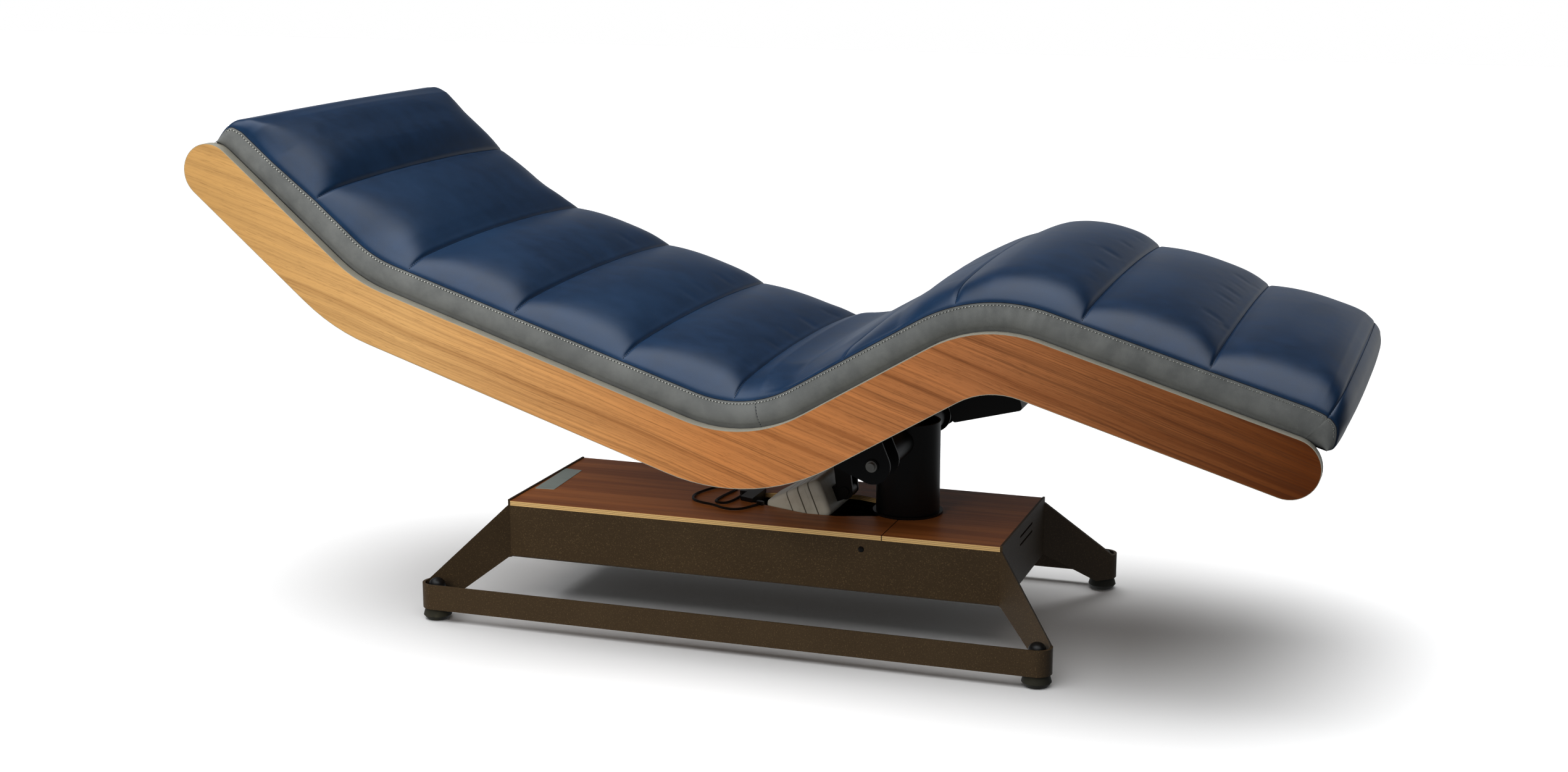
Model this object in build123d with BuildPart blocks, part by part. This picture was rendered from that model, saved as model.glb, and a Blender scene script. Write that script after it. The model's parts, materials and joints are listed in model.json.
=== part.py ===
from build123d import *
import os
from math import acos, asin, atan2, cos, degrees, hypot, pi, radians, sin, tan

os.makedirs("parts", exist_ok=True)

# Frame: +X towards the foot end, +Y towards the far side, +Z up, millimetres.
# The origin lies on the floor below the middle of the overall length and width.

# Clearances
running_clearance = 0.05
seat_clearance = 0.3
board_clearance = 0.4
pin_loop_clearance = 3.3
opening_clearance = 7.0
overrun = 10.0

# Base: a folded steel box on two bent straps
base_x = -31.5
box_length = 926.0
box_width = 336.0
box_height = 107.0
board_top = 197.0
board_thickness = 9.0
sheet = 3.0
end_plate_thickness = 4.0
end_plate_proud = 2.0
flange_width = 24.0
fold_radius = 5.0
slot_length = 98.0
slot_height = 4.0
slot_pitch = 15.0
slot_drop = 20.0
slot_shift = 17.0
side_plug_x = 180.5
side_plug_z = 169.0
side_plug_radius = 5.5
side_plug_shank_radius = 4.0
side_plug_rise = 3.0

strap_reach = 115.0
strap_side_reach = 142.0
strap_thickness = 5.0
strap_bottom = 22.5
strap_top = 68.0
strap_corner_radius = 26.0
leg_bottom_reach = 85.0
leg_top_reach = 110.0
leg_bite = 5.0

# Levelling feet
foot_radius = 25.5
foot_top_radius = 21.0
foot_sole_radius = 19.0
foot_bulge_height = 8.0
stem_radius = 5.0
stem_top = 50.0
stem_foot = 8.0
boss_radius = 14.0
boss_flange_thickness = 6.0
boss_top = 62.0
cap_radius = 15.5
cap_skirt = 8.0
cap_rise = 13.0

# Column and tilt bearing
pivot_x = 217.0
pivot_z = 336.0
column_radius = 57.15
column_wall = 3.6
column_top = 366.0
ring_radius = 63.0
ring_height = 4.0
bearing_tube_radius = 24.0
bearing_tube_wall = 4.0
bearing_tube_half = 168.0
bush_length = 20.0
bush_flange = 2.7
bush_flange_radius = 23.0
pivot_shaft_radius = 7.0
pivot_shaft_end = 10.0
washer_radius = 12.0
washer_thickness = 2.5
retainer_radius = 10.0
retainer_thickness = 2.0

# Opening in the long board
opening_left_x = -88.0
opening_shoulder_x = 45.0
opening_narrow_x = 105.0
opening_right_x = 178.0
opening_tip_half = 27.0
opening_half = 75.0
opening_right_half = 50.0
opening_corner_radius = 6.0

# Wave line: the centre line of the side panels, from the head end to the foot end
valley_x = 49.9
valley_z = 341.8
head_slope = 40.74
back_slope = 18.29
thigh_slope = 30.58
leg_slope = 16.98
head_length = 339.6
back_length = 778.0
thigh_length = 459.2
leg_length = 499.6
bend_radius = 310.0
valley_radius = 297.0
knee_radius = 176.0

# Side panels
panel_depth = 98.0
panel_thickness = 20.0
panel_inner = 368.5
edge_band = 1.0

# Seat shell and steel frame
pad_sink = 8.0
shell_thickness = 12.0
shell_head_margin = 20.0
shell_foot_reach = 18.0
rail_width = 50.0
rail_height = 30.0
rail_wall = 2.5
rail_centre = 200.0
rail_head_margin = 70.0
rail_foot_margin = 60.0
cross_size = 30.0
cross_wall = 2.0
cross_gap = 0.3
cross_shares = (0.075, 0.32, 0.558, 0.703, 0.93)
cleat_leg = 30.0
cleat_thickness = 3.0
screw_radius = 2.5
screw_head_radius = 5.0
screw_head_height = 3.0
screw_depth = 12.0
bracket_thickness = 4.0
bracket_tip_radius = 32.0
bracket_corner_x = 118.0
bracket_corner_z = 343.0
bracket_rear_place = 1181.0
bracket_front_place = 1288.0
bracket_lap = 24.0

# Actuator, along a line from its upper pin down to its lower pin
upper_pin_x = 104.0
upper_pin_z = 228.0
actuator_slope = 22.0
actuator_length = 285.0
upper_pin_radius = 6.0
lower_pin_radius = 5.0
pin_head_radius = 8.5
pin_head_thickness = 3.0
lug_thickness = 5.0
lug_tip_radius = 15.0
clevis_half_width = 14.0
clevis_radius = 14.0
housing_start = 22.0
housing_seam = 52.0
housing_end = 145.0
housing_above = 42.0
housing_below = 28.0
housing_end_above = 30.0
housing_end_below = 22.0
housing_half_width = 66.0
housing_shoulder = 70.0
housing_edge_radius = 10.0
tube_radius = 16.0
tube_wall = 3.0
tube_end = 215.0
tube_collar = 10.0
rod_radius = 9.0
rod_start = 165.0
eye_radius = 15.0
eye_half_width = 8.0
bracket_ear_thickness = 4.0
bracket_ear_radius = 12.0
bracket_base_half = 30.0
bracket_base_thickness = 4.0

# Control box under the knee
control_box_x = 367.5
control_box_z = 412.0
control_box_slope = 14.3
control_box_length = 128.0
control_box_width = 100.0
control_box_height = 38.0
control_box_radius = 6.0
hanger_width = 24.0
hanger_thickness = 3.0
hanger_y = 30.0

# Cushion; places are lengths along the wave line, and levels are heights above it
pad_half_width = 367.5
pad_seam = 97.0
pad_crown = 28.0
pad_crease = 8.0
pad_roll = 36.0
pad_roll_rise = 21.0
pad_crease_rise = 3.0
pad_draw_in = 2.5
pad_loft_level = 35.0
channel_places = (178.0, 427.0, 634.0, 843.0, 1083.0, 1341.0, 1526.0, 1676.0, 1886.0)
channel_depth_shares = (1, 1, 1, 1, 1, 0.25, 0.45, 1, 1)
channel_near = 12.0
channel_far = 38.0
channel_near_share = 0.45
channel_far_share = 0.8
pad_head_places = (-28.0, -26.5, -20.0, 0.0, 75.0)
pad_head_seams = (62.0, 72.0, 83.0, 91.0, 92.0)
pad_head_full_shares = (0.0, 0.2, 0.45, 0.8, 1.0)
pad_foot_reaches = (2.0, 28.0, 39.0, 45.2, 47.2)
pad_foot_seams = (96.0, 92.0, 88.0, 80.0, 64.0)
pad_foot_full_shares = (0.9, 0.65, 0.45, 0.2, 0.0)

# Supply cable, laid over the long board from its clip to its outlet
cable_radius = 2.25
cable_clip_x = -46.0
cable_clip_length = 8.0
cable_clip_width = 14.0
cable_clip_height = 7.0
cable_clip_back = 0.5
cable_run = 38.0
cable_xs = (
    -80.0, -103.0, -126.0, -150.0, -173.0, -184.0, -178.0, -167.0, -152.0,
    -126.0, -122.0, -128.0, -132.0, -131.0, -99.0,
)
cable_ys = (
    -101.0, -97.0, -81.0, -75.0, -62.0, -32.0, 0.0, 28.0, 52.0,
    52.0, 26.0, -5.0, -35.0, -65.0, -65.0,
)
cable_end_x = -99.0
cable_end_y = 6.0
cable_tension_share = 0.45
outlet_right_x = -66.0
outlet_lap = 4.0
outlet_height = 8.0
outlet_ear_x = -106.0
outlet_ear_y = 22.0
outlet_corner_radius = 2.0

half_depth = panel_depth / 2
box_bottom = board_top - box_height
tray_top = board_top - board_thickness
floor_top = box_bottom + sheet
half_box = box_length / 2
half_box_width = box_width / 2
strap_half_length = half_box + strap_reach
strap_half_width = half_box_width + strap_side_reach


# Places along the wave line

def step(point, length, slope):
    """The point that lies length further on, at slope degrees above the floor."""
    return (point[0] + length * cos(radians(slope)), point[1] + length * sin(radians(slope)))


valley_point = (valley_x, valley_z)
bend_point = step(valley_point, -back_length, -back_slope)
head_point = step(bend_point, -head_length, -head_slope)
knee_point = step(valley_point, thigh_length, thigh_slope)
foot_point = step(knee_point, leg_length, -leg_slope)
wave_slopes = (-head_slope, -back_slope, thigh_slope, -leg_slope)


def wave_points(level, head_reach=0, foot_reach=0):
    """Corners of the wave line moved up by level, with its two ends drawn out."""
    corners = []
    inner = zip((bend_point, valley_point, knee_point), wave_slopes, wave_slopes[1:])
    for point, before, after in inner:
        middle = radians((before + after) / 2)
        mitre = level / cos(radians(after - before) / 2)
        corners.append((point[0] - mitre * sin(middle), point[1] + mitre * cos(middle)))
    first = step(step(head_point, level, wave_slopes[0] + 90), -head_reach, wave_slopes[0])
    last = step(step(foot_point, level, wave_slopes[-1] + 90), foot_reach, wave_slopes[-1])
    return [first, *corners, last]


def wave_radii(level):
    """Bend radii of the wave line moved up by level."""
    return (bend_radius - level, valley_radius - level, knee_radius + level)


def wave_outline(low, high, head_reach=0, foot_reach=0):
    """Draws the closed strip between two levels of the wave line in the current sketch."""
    with BuildLine() as loop:
        under = FilletPolyline(*wave_points(low, head_reach, foot_reach), radius=wave_radii(low))
        over = FilletPolyline(*wave_points(high, head_reach, foot_reach), radius=wave_radii(high))
        Line(under @ 0, over @ 0)
        Line(under @ 1, over @ 1)
    make_face(loop.edges())


def side_plane(y):
    """The upright plane at y that faces the near side, with X to the right and Z up."""
    return Plane.XZ.offset(-y)


def wave_frame(distance, level, reach=0):
    """Place, slope in degrees and level of a point on the wave line, by its length from the head."""
    spot = wave_line.location_at(distance, position_mode=PositionMode.LENGTH)
    heading = wave_line.tangent_at(distance, position_mode=PositionMode.LENGTH)
    slope = degrees(atan2(heading.Z, heading.X))
    x, z = step(step((spot.position.X, spot.position.Z), level, slope + 90), reach, slope)
    return x, z, slope


with BuildLine(Plane.XZ) as wave:
    FilletPolyline(*wave_points(0), radius=wave_radii(0))
wave_line = wave.wires()[0]
wave_length = wave_line.length

# Base box

tray_length = box_length - 2 * end_plate_thickness
with BuildPart() as base_tray:
    with BuildSketch(Plane.YZ.offset(base_x - tray_length / 2)):
        with Locations((0, (box_bottom + tray_top) / 2)):
            Rectangle(box_width, tray_top - box_bottom)
        with Locations((0, (floor_top + tray_top - sheet) / 2)):
            Rectangle(box_width - 2 * sheet, tray_top - sheet - floor_top, mode=Mode.SUBTRACT)
        with Locations((0, tray_top)):
            Rectangle(box_width - 2 * flange_width, 3 * sheet, mode=Mode.SUBTRACT)
    extrude(amount=tray_length)
    outer_folds = base_tray.edges().filter_by(Axis.X).group_by(Axis.Z)[0]
    fillet(outer_folds, fold_radius)
    with BuildSketch(side_plane(-half_box_width)):
        with Locations((side_plug_x, side_plug_z)):
            Circle(side_plug_shank_radius)
    extrude(amount=overrun, both=True, mode=Mode.SUBTRACT)
base_tray.part.label = "base_tray"
export_step(base_tray.part, "parts/base_tray.step")

plate_height = board_top + end_plate_proud - box_bottom
with BuildPart() as head_end_plate:
    with BuildSketch(Plane.YZ.offset(base_x - half_box)):
        with Locations((0, box_bottom + plate_height / 2)):
            Rectangle(box_width, plate_height)
    extrude(amount=end_plate_thickness)
head_end_plate.part.label = "head_end_plate"
export_step(head_end_plate.part, "parts/head_end_plate.step")

with BuildPart() as foot_end_plate:
    with BuildSketch(Plane.YZ.offset(base_x + half_box - end_plate_thickness)):
        with Locations((0, box_bottom + plate_height / 2)):
            Rectangle(box_width, plate_height)
        upper_slot = board_top - slot_drop
        with Locations((slot_shift, upper_slot), (slot_shift, upper_slot - slot_pitch)):
            SlotOverall(slot_length, slot_height, mode=Mode.SUBTRACT)
    extrude(amount=end_plate_thickness)
foot_end_plate.part.label = "foot_end_plate"
export_step(foot_end_plate.part, "parts/foot_end_plate.step")

plug_centre = (side_plug_x, -half_box_width, side_plug_z)
with BuildPart() as side_plug:
    with BuildSketch(Plane(origin=plug_centre, x_dir=(1, 0, 0), z_dir=(0, 0, 1))):
        with BuildLine():
            Polyline((side_plug_radius, 0), (0, 0), (0, -side_plug_rise))
            ThreePointArc(
                (0, -side_plug_rise),
                (side_plug_radius * sin(radians(45)), -side_plug_rise * cos(radians(45))),
                (side_plug_radius, 0),
            )
        make_face()
    revolve(axis=Axis(plug_centre, (0, 1, 0)))
    with BuildSketch(side_plane(-half_box_width)):
        with Locations((side_plug_x, side_plug_z)):
            Circle(side_plug_shank_radius - running_clearance)
    extrude(amount=-sheet)
side_plug.part.label = "side_plug"
export_step(side_plug.part, "parts/side_plug.step")

# Straps: each a low rail bent round its two corners, with legs that rise to the box

corner_x = strap_half_length - strap_corner_radius
corner_y = strap_half_width - strap_corner_radius
bar_radius = strap_corner_radius - strap_thickness / 2
to_corner = (corner_x - half_box, corner_y - half_box_width)
leg_angle = degrees(atan2(to_corner[1], to_corner[0]) - asin(bar_radius / hypot(*to_corner)))
bar_y = strap_half_width - strap_thickness / 2
leg_run = (bar_y - half_box_width) / sin(radians(leg_angle))


def strap(side):
    """One strap with its two legs; side is -1 on the near side and 1 on the far side."""
    inner = step((half_box, half_box_width), -leg_bite, leg_angle)
    elbow = step((half_box, half_box_width), leg_run, leg_angle)
    with BuildPart() as bar:
        with BuildSketch(Plane.XY.offset(strap_bottom)):
            with BuildLine():
                FilletPolyline(
                    (base_x - inner[0], side * inner[1]),
                    (base_x - elbow[0], side * elbow[1]),
                    (base_x + elbow[0], side * elbow[1]),
                    (base_x + inner[0], side * inner[1]),
                    radius=bar_radius,
                )
                offset(amount=strap_thickness / 2, side=Side.BOTH)
            make_face()
        extrude(amount=tray_top - strap_bottom)
        # Outside the corner bends the bar is a low rail
        with BuildSketch(side_plane(side * corner_y)):
            with Locations((base_x, (strap_top + tray_top + overrun) / 2)):
                Rectangle(2 * (strap_half_length + overrun), tray_top + overrun - strap_top)
        extrude(amount=-side * (strap_corner_radius + overrun), mode=Mode.SUBTRACT)
        # Inside them each leg widens up to the full height of the box
        for end in (-1, 1):
            with BuildSketch(side_plane(side * corner_y)):
                with BuildLine():
                    Polyline(
                        (base_x + end * half_box, tray_top),
                        (base_x + end * (half_box + leg_top_reach), strap_top),
                        (base_x + end * (strap_half_length + overrun), strap_top),
                        (base_x + end * (strap_half_length + overrun), tray_top + overrun),
                        (base_x + end * half_box, tray_top + overrun),
                        close=True,
                    )
                make_face()
                with BuildLine():
                    Polyline(
                        (base_x + end * (half_box - overrun), box_bottom),
                        (base_x + end * half_box, box_bottom),
                        (base_x + end * (half_box + leg_bottom_reach), strap_bottom),
                        (base_x + end * (half_box - overrun), strap_bottom),
                        close=True,
                    )
                make_face()
            extrude(amount=side * corner_y, mode=Mode.SUBTRACT)
        with BuildSketch(Plane.XY):
            with Locations((base_x, 0)):
                Rectangle(box_length, box_width)
        extrude(amount=tray_top + overrun, mode=Mode.SUBTRACT)
    return bar


for side, name in ((-1, "near_strap"), (1, "far_strap")):
    bar = strap(side)
    bar.part.label = name
    export_step(bar.part, f"parts/{name}.step")

# Corner bosses, caps and levelling feet

corners = [(base_x + end * corner_x, side * corner_y) for side in (-1, 1) for end in (-1, 1)]

with BuildPart() as corner_bosses:
    with BuildSketch(Plane.XY.offset(strap_bottom)):
        with Locations(*corners):
            Circle(strap_corner_radius - strap_thickness)
    extrude(amount=boss_flange_thickness)
    with BuildSketch(Plane.XY.offset(strap_bottom)):
        with Locations(*corners):
            Circle(boss_radius)
    extrude(amount=boss_top - strap_bottom)
    with BuildSketch(Plane.XY.offset(strap_bottom)):
        with Locations(*corners):
            Circle(stem_radius + running_clearance)
    extrude(amount=boss_top - strap_bottom, mode=Mode.SUBTRACT)
corner_bosses.part.label = "corner_bosses"
export_step(corner_bosses.part, "parts/corner_bosses.step")


def dome(radius, rise):
    """Draws the right half of a dome of that radius and rise, standing on the X axis."""
    with BuildLine() as loop:
        Polyline((radius, 0), (0, 0), (0, rise))
        ThreePointArc((0, rise), (radius * sin(radians(45)), rise * cos(radians(45))), (radius, 0))
    make_face(loop.edges())


with BuildPart() as cap_pattern:
    with BuildSketch(Plane.XZ):
        with Locations((cap_radius / 2, -cap_skirt / 2)):
            Rectangle(cap_radius, cap_skirt)
        dome(cap_radius, cap_rise)
        with Locations(((boss_radius + running_clearance) / 2, -cap_skirt / 2)):
            Rectangle(boss_radius + running_clearance, cap_skirt, mode=Mode.SUBTRACT)
    revolve(axis=Axis.Z)
with BuildPart() as boss_caps:
    for x, y in corners:
        add(cap_pattern.part.moved(Location((x, y, boss_top))))
boss_caps.part.label = "boss_caps"
export_step(boss_caps.part, "parts/boss_caps.step")

foot_top = strap_bottom - seat_clearance
foot_middle_radius = (foot_radius + foot_top_radius) / 2
for number, (x, y) in enumerate(corners, 1):
    with BuildPart() as foot_pad:
        with BuildSketch(Plane.XZ):
            with BuildLine():
                Polyline((stem_radius, foot_top), (stem_radius, stem_foot), (0, stem_foot), (0, 0))
                Polyline((0, 0), (foot_sole_radius, 0), (foot_radius, foot_bulge_height))
                ThreePointArc(
                    (foot_radius, foot_bulge_height),
                    (foot_middle_radius + seat_clearance, (foot_bulge_height + foot_top) / 2),
                    (foot_top_radius, foot_top),
                )
                Line((foot_top_radius, foot_top), (stem_radius, foot_top))
            make_face()
        revolve(axis=Axis.Z)
    placed_pad = foot_pad.part.moved(Location((x, y, 0)))
    placed_pad.label = f"foot_pad_{number}"
    export_step(placed_pad, f"parts/foot_pad_{number}.step")

    with BuildPart() as foot_stem:
        with BuildSketch(Plane.XY.offset(stem_foot)):
            Circle(stem_radius)
        extrude(amount=stem_top - stem_foot)
        chamfer(foot_stem.edges().filter_by(GeomType.CIRCLE).sort_by(Axis.Z)[-1], stem_radius / 5)
    placed_stem = foot_stem.part.moved(Location((x, y, 0)))
    placed_stem.label = f"foot_stem_{number}"
    export_step(placed_stem, f"parts/foot_stem_{number}.step")

# Cover boards, cut out round the column and the actuator


def opening_half_at(x):
    """Half the width of the board's opening at x, on its slanted stretch."""
    share = (x - opening_left_x) / (opening_shoulder_x - opening_left_x)
    return opening_tip_half + share * (opening_half - opening_tip_half)


board_left = base_x - half_box + end_plate_thickness + board_clearance
board_right = base_x + half_box - end_plate_thickness - board_clearance
split_left = pivot_x - board_clearance / 2
split_right = pivot_x + board_clearance / 2
opening_side = [
    (opening_left_x, opening_tip_half),
    (opening_shoulder_x, opening_half),
    (opening_narrow_x, opening_half),
    (opening_right_x, opening_right_half),
]
opening_loop = opening_side + [(x, -y) for x, y in reversed(opening_side)]

with BuildPart() as long_board:
    with BuildSketch(Plane.XY.offset(tray_top)):
        with Locations(((board_left + split_left) / 2, 0)):
            Rectangle(split_left - board_left, box_width)
        with BuildLine():
            FilletPolyline(*opening_loop, close=True, radius=opening_corner_radius)
        make_face(mode=Mode.SUBTRACT)
        with Locations((pivot_x, 0)):
            Circle(column_radius + board_clearance, mode=Mode.SUBTRACT)
    extrude(amount=board_thickness)
long_board.part.label = "long_board"
export_step(long_board.part, "parts/long_board.step")

with BuildPart() as short_board:
    with BuildSketch(Plane.XY.offset(tray_top)):
        with Locations(((split_right + board_right) / 2, 0)):
            Rectangle(board_right - split_right, box_width)
        with Locations((pivot_x, 0)):
            Circle(column_radius + board_clearance, mode=Mode.SUBTRACT)
    extrude(amount=board_thickness)
short_board.part.label = "short_board"
export_step(short_board.part, "parts/short_board.step")

# Column with the tilt bearing through its top

with BuildPart() as column:
    with BuildSketch(Plane.XY.offset(floor_top)):
        with Locations((pivot_x, 0)):
            Circle(column_radius)
            Circle(column_radius - column_wall, mode=Mode.SUBTRACT)
    extrude(amount=column_top - floor_top)
    with BuildSketch(Plane.XZ):
        with Locations((pivot_x, pivot_z)):
            Circle(bearing_tube_radius)
    extrude(amount=column_radius + overrun, both=True, mode=Mode.SUBTRACT)
column.part.label = "column"
export_step(column.part, "parts/column.step")

with BuildPart() as column_ring:
    with BuildSketch(Plane.XY.offset(board_top)):
        with Locations((pivot_x, 0)):
            Circle(ring_radius)
            Circle(column_radius + running_clearance, mode=Mode.SUBTRACT)
    extrude(amount=ring_height)
column_ring.part.label = "column_ring"
export_step(column_ring.part, "parts/column_ring.step")

bush_radius = bearing_tube_radius - bearing_tube_wall
with BuildPart() as bearing_tube:
    with BuildSketch(Plane.XZ):
        with Locations((pivot_x, pivot_z)):
            Circle(bearing_tube_radius)
            Circle(bush_radius, mode=Mode.SUBTRACT)
    extrude(amount=bearing_tube_half, both=True)
bearing_tube.part.label = "bearing_tube"
export_step(bearing_tube.part, "parts/bearing_tube.step")

with BuildPart() as pivot_bushes:
    for side in (-1, 1):
        with BuildSketch(side_plane(side * bearing_tube_half)):
            with Locations((pivot_x, pivot_z)):
                Circle(bush_radius - running_clearance)
        extrude(amount=side * bush_length)
        with BuildSketch(side_plane(side * bearing_tube_half)):
            with Locations((pivot_x, pivot_z)):
                Circle(bush_flange_radius)
        extrude(amount=-side * bush_flange)
    with BuildSketch(Plane.XZ):
        with Locations((pivot_x, pivot_z)):
            Circle(pivot_shaft_radius + running_clearance)
    extrude(amount=bearing_tube_half + overrun, both=True, mode=Mode.SUBTRACT)
pivot_bushes.part.label = "pivot_bushes"
export_step(pivot_bushes.part, "parts/pivot_bushes.step")

pivot_half = rail_centre + rail_width / 2 + bracket_thickness + pivot_shaft_end
with BuildPart() as pivot_shaft:
    with BuildSketch(Plane.XZ):
        with Locations((pivot_x, pivot_z)):
            Circle(pivot_shaft_radius)
    extrude(amount=pivot_half, both=True)
pivot_shaft.part.label = "pivot_shaft"
export_step(pivot_shaft.part, "parts/pivot_shaft.step")


def shaft_discs(radius, start, thickness):
    """A disc with a hole for the pivot shaft on each side, start from the middle of the width."""
    with BuildPart() as discs:
        for side in (-1, 1):
            with BuildSketch(side_plane(side * start)):
                with Locations((pivot_x, pivot_z)):
                    Circle(radius)
                    Circle(pivot_shaft_radius, mode=Mode.SUBTRACT)
            extrude(amount=-side * thickness)
    return discs


washer_start = pivot_half - pivot_shaft_end
pivot_washers = shaft_discs(washer_radius, washer_start, washer_thickness)
pivot_washers.part.label = "pivot_washers"
export_step(pivot_washers.part, "parts/pivot_washers.step")
pivot_retainers = shaft_discs(retainer_radius, washer_start + washer_thickness, retainer_thickness)
pivot_retainers.part.label = "pivot_retainers"
export_step(pivot_retainers.part, "parts/pivot_retainers.step")

# Side panels and their edge bands


def panel_outline(amount, mode=Mode.ADD):
    """Draws the wave line widened by amount on both sides, with full round ends."""
    with BuildLine() as loop:
        FilletPolyline(*wave_points(0), radius=wave_radii(0))
        offset(amount=amount, side=Side.BOTH)
    make_face(loop.edges(), mode=mode)


pad_level = half_depth - pad_sink
shell_level = pad_level - shell_thickness
rail_top = shell_level - cross_gap
rail_low = rail_top - rail_height
cross_level = rail_low - cross_size / 2
cross_distances = [share * wave_length for share in cross_shares]
cross_frames = [wave_frame(distance, cross_level) for distance in cross_distances]
screw_spots = [step((x, z), (cross_size + cleat_leg) / 2, slope) for x, z, slope in cross_frames]

for side, name in ((-1, "near"), (1, "far")):
    with BuildPart() as panel:
        with BuildSketch(side_plane(side * panel_inner)):
            panel_outline(half_depth - edge_band)
        extrude(amount=-side * panel_thickness)
        with BuildSketch(side_plane(side * panel_inner)):
            with Locations(*screw_spots):
                Circle(screw_radius)
        extrude(amount=-side * screw_depth, mode=Mode.SUBTRACT)
    panel.part.label = f"{name}_side_panel"
    export_step(panel.part, f"parts/{name}_side_panel.step")

    with BuildPart() as band:
        with BuildSketch(side_plane(side * panel_inner)):
            panel_outline(half_depth)
            panel_outline(half_depth - edge_band, Mode.SUBTRACT)
        extrude(amount=-side * panel_thickness)
    band.part.label = f"{name}_edge_band"
    export_step(band.part, f"parts/{name}_edge_band.step")

# Seat shell, rails and cross tubes

shell_half = panel_inner - cross_gap
with BuildPart() as seat_shell:
    with BuildSketch(Plane.XZ):
        wave_outline(shell_level, pad_level, -shell_head_margin, shell_foot_reach)
    extrude(amount=shell_half, both=True)
seat_shell.part.label = "seat_shell"
export_step(seat_shell.part, "parts/seat_shell.step")

for side, name in ((-1, "near_rail"), (1, "far_rail")):
    with BuildPart() as rail:
        with BuildSketch(side_plane(side * (rail_centre - rail_width / 2))):
            wave_outline(rail_low, rail_top, -rail_head_margin, -rail_foot_margin)
        extrude(amount=-side * rail_width)
        with BuildSketch(side_plane(side * (rail_centre - rail_width / 2 + rail_wall))):
            wave_outline(
                rail_low + rail_wall,
                rail_top - rail_wall,
                overrun - rail_head_margin,
                overrun - rail_foot_margin,
            )
        extrude(amount=-side * (rail_width - 2 * rail_wall), mode=Mode.SUBTRACT)
    rail.part.label = name
    export_step(rail.part, f"parts/{name}.step")

for number, (x, z, slope) in enumerate(cross_frames, 1):
    with BuildPart() as cross_tube:
        with BuildSketch(Plane.XZ):
            with Locations((x, z)):
                Rectangle(cross_size, cross_size, rotation=slope)
                Rectangle(
                    cross_size - 2 * cross_wall,
                    cross_size - 2 * cross_wall,
                    rotation=slope,
                    mode=Mode.SUBTRACT,
                )
        extrude(amount=shell_half, both=True)
    cross_tube.part.label = f"cross_tube_{number}"
    export_step(cross_tube.part, f"parts/cross_tube_{number}.step")

# Cleats from the cross tubes to the side panels, with their screws

with BuildPart() as panel_cleats:
    for x, z, slope in cross_frames:
        for side in (-1, 1):
            with BuildSketch(side_plane(side * (panel_inner - cleat_thickness))):
                with Locations(step((x, z), (cross_size + cleat_leg) / 2, slope)):
                    Rectangle(cleat_leg, cross_size - 2 * cross_wall, rotation=slope)
                    Circle(screw_radius, mode=Mode.SUBTRACT)
            extrude(amount=-side * cleat_thickness)
            with BuildSketch(side_plane(side * (panel_inner - cleat_leg))):
                with Locations(step((x, z), (cross_size + cleat_thickness) / 2, slope)):
                    Rectangle(cleat_thickness, cross_size - 2 * cross_wall, rotation=slope)
            extrude(amount=-side * (cleat_leg - cleat_thickness))
panel_cleats.part.label = "panel_cleats"
export_step(panel_cleats.part, "parts/panel_cleats.step")

with BuildPart() as panel_screws:
    for side in (-1, 1):
        with BuildSketch(side_plane(side * (panel_inner - cleat_thickness))):
            with Locations(*screw_spots):
                Circle(screw_radius)
        extrude(amount=-side * (cleat_thickness + screw_depth))
        with BuildSketch(side_plane(side * (panel_inner - cleat_thickness))):
            with Locations(*screw_spots):
                RegularPolygon(screw_head_radius, 6)
        extrude(amount=side * screw_head_height)
panel_screws.part.label = "panel_screws"
export_step(panel_screws.part, "parts/panel_screws.step")


# Tilt brackets on both faces of each rail


def tangent_point(centre, radius, point, turn):
    """Where the line from point touches the circle, on its left for 1 and on its right for -1."""
    reach = hypot(point[0] - centre[0], point[1] - centre[1])
    angle = atan2(point[1] - centre[1], point[0] - centre[0]) + turn * acos(radius / reach)
    return (centre[0] + radius * cos(angle), centre[1] + radius * sin(angle))


def tipped_plate(centre, radius, corners, bore):
    """Draws a plate with a round tip about centre and a bore, out to corners that run anticlockwise."""
    with BuildLine() as loop:
        Polyline(
            tangent_point(centre, radius, corners[0], -1),
            *corners,
            tangent_point(centre, radius, corners[-1], 1),
            close=True,
        )
    make_face(loop.edges())
    with Locations(centre):
        Circle(radius)
        Circle(bore, mode=Mode.SUBTRACT)


pivot = (pivot_x, pivot_z)
bracket_level = rail_low + bracket_lap
bracket_corners = [
    wave_frame(bracket_front_place, bracket_level)[:2],
    wave_frame(bracket_rear_place, bracket_level)[:2],
    (bracket_corner_x, bracket_corner_z),
]
inner_face = rail_centre - rail_width / 2
outer_face = rail_centre + rail_width / 2
bracket_starts = {
    "near_inner_bracket": -inner_face,
    "near_outer_bracket": -outer_face - bracket_thickness,
    "far_inner_bracket": inner_face - bracket_thickness,
    "far_outer_bracket": outer_face,
}
for name, start in bracket_starts.items():
    with BuildPart() as bracket:
        with BuildSketch(side_plane(start)):
            tipped_plate(pivot, bracket_tip_radius, bracket_corners, pivot_shaft_radius)
        extrude(amount=-bracket_thickness)
    bracket.part.label = name
    export_step(bracket.part, f"parts/{name}.step")

# Actuator, along its line from the upper pin to the lower pin

upper_pin = (upper_pin_x, upper_pin_z)


def along(run, rise=0):
    """The point run down the line of the actuator and rise above it."""
    return step(step(upper_pin, run, actuator_slope + 180), rise, actuator_slope + 90)


def cross_plane(run):
    """The plane square to the line of the actuator, facing down it."""
    x, z = along(run)
    down = (-cos(radians(actuator_slope)), 0, -sin(radians(actuator_slope)))
    return Plane(origin=(x, 0, z), x_dir=(0, 1, 0), z_dir=down)


def under_cross(tube, run):
    """A point on the underside of a cross tube, run towards the foot end from its middle."""
    x, z, slope = tube
    return step(step((x, z), run, slope), cross_size / 2, slope - 90)


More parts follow.
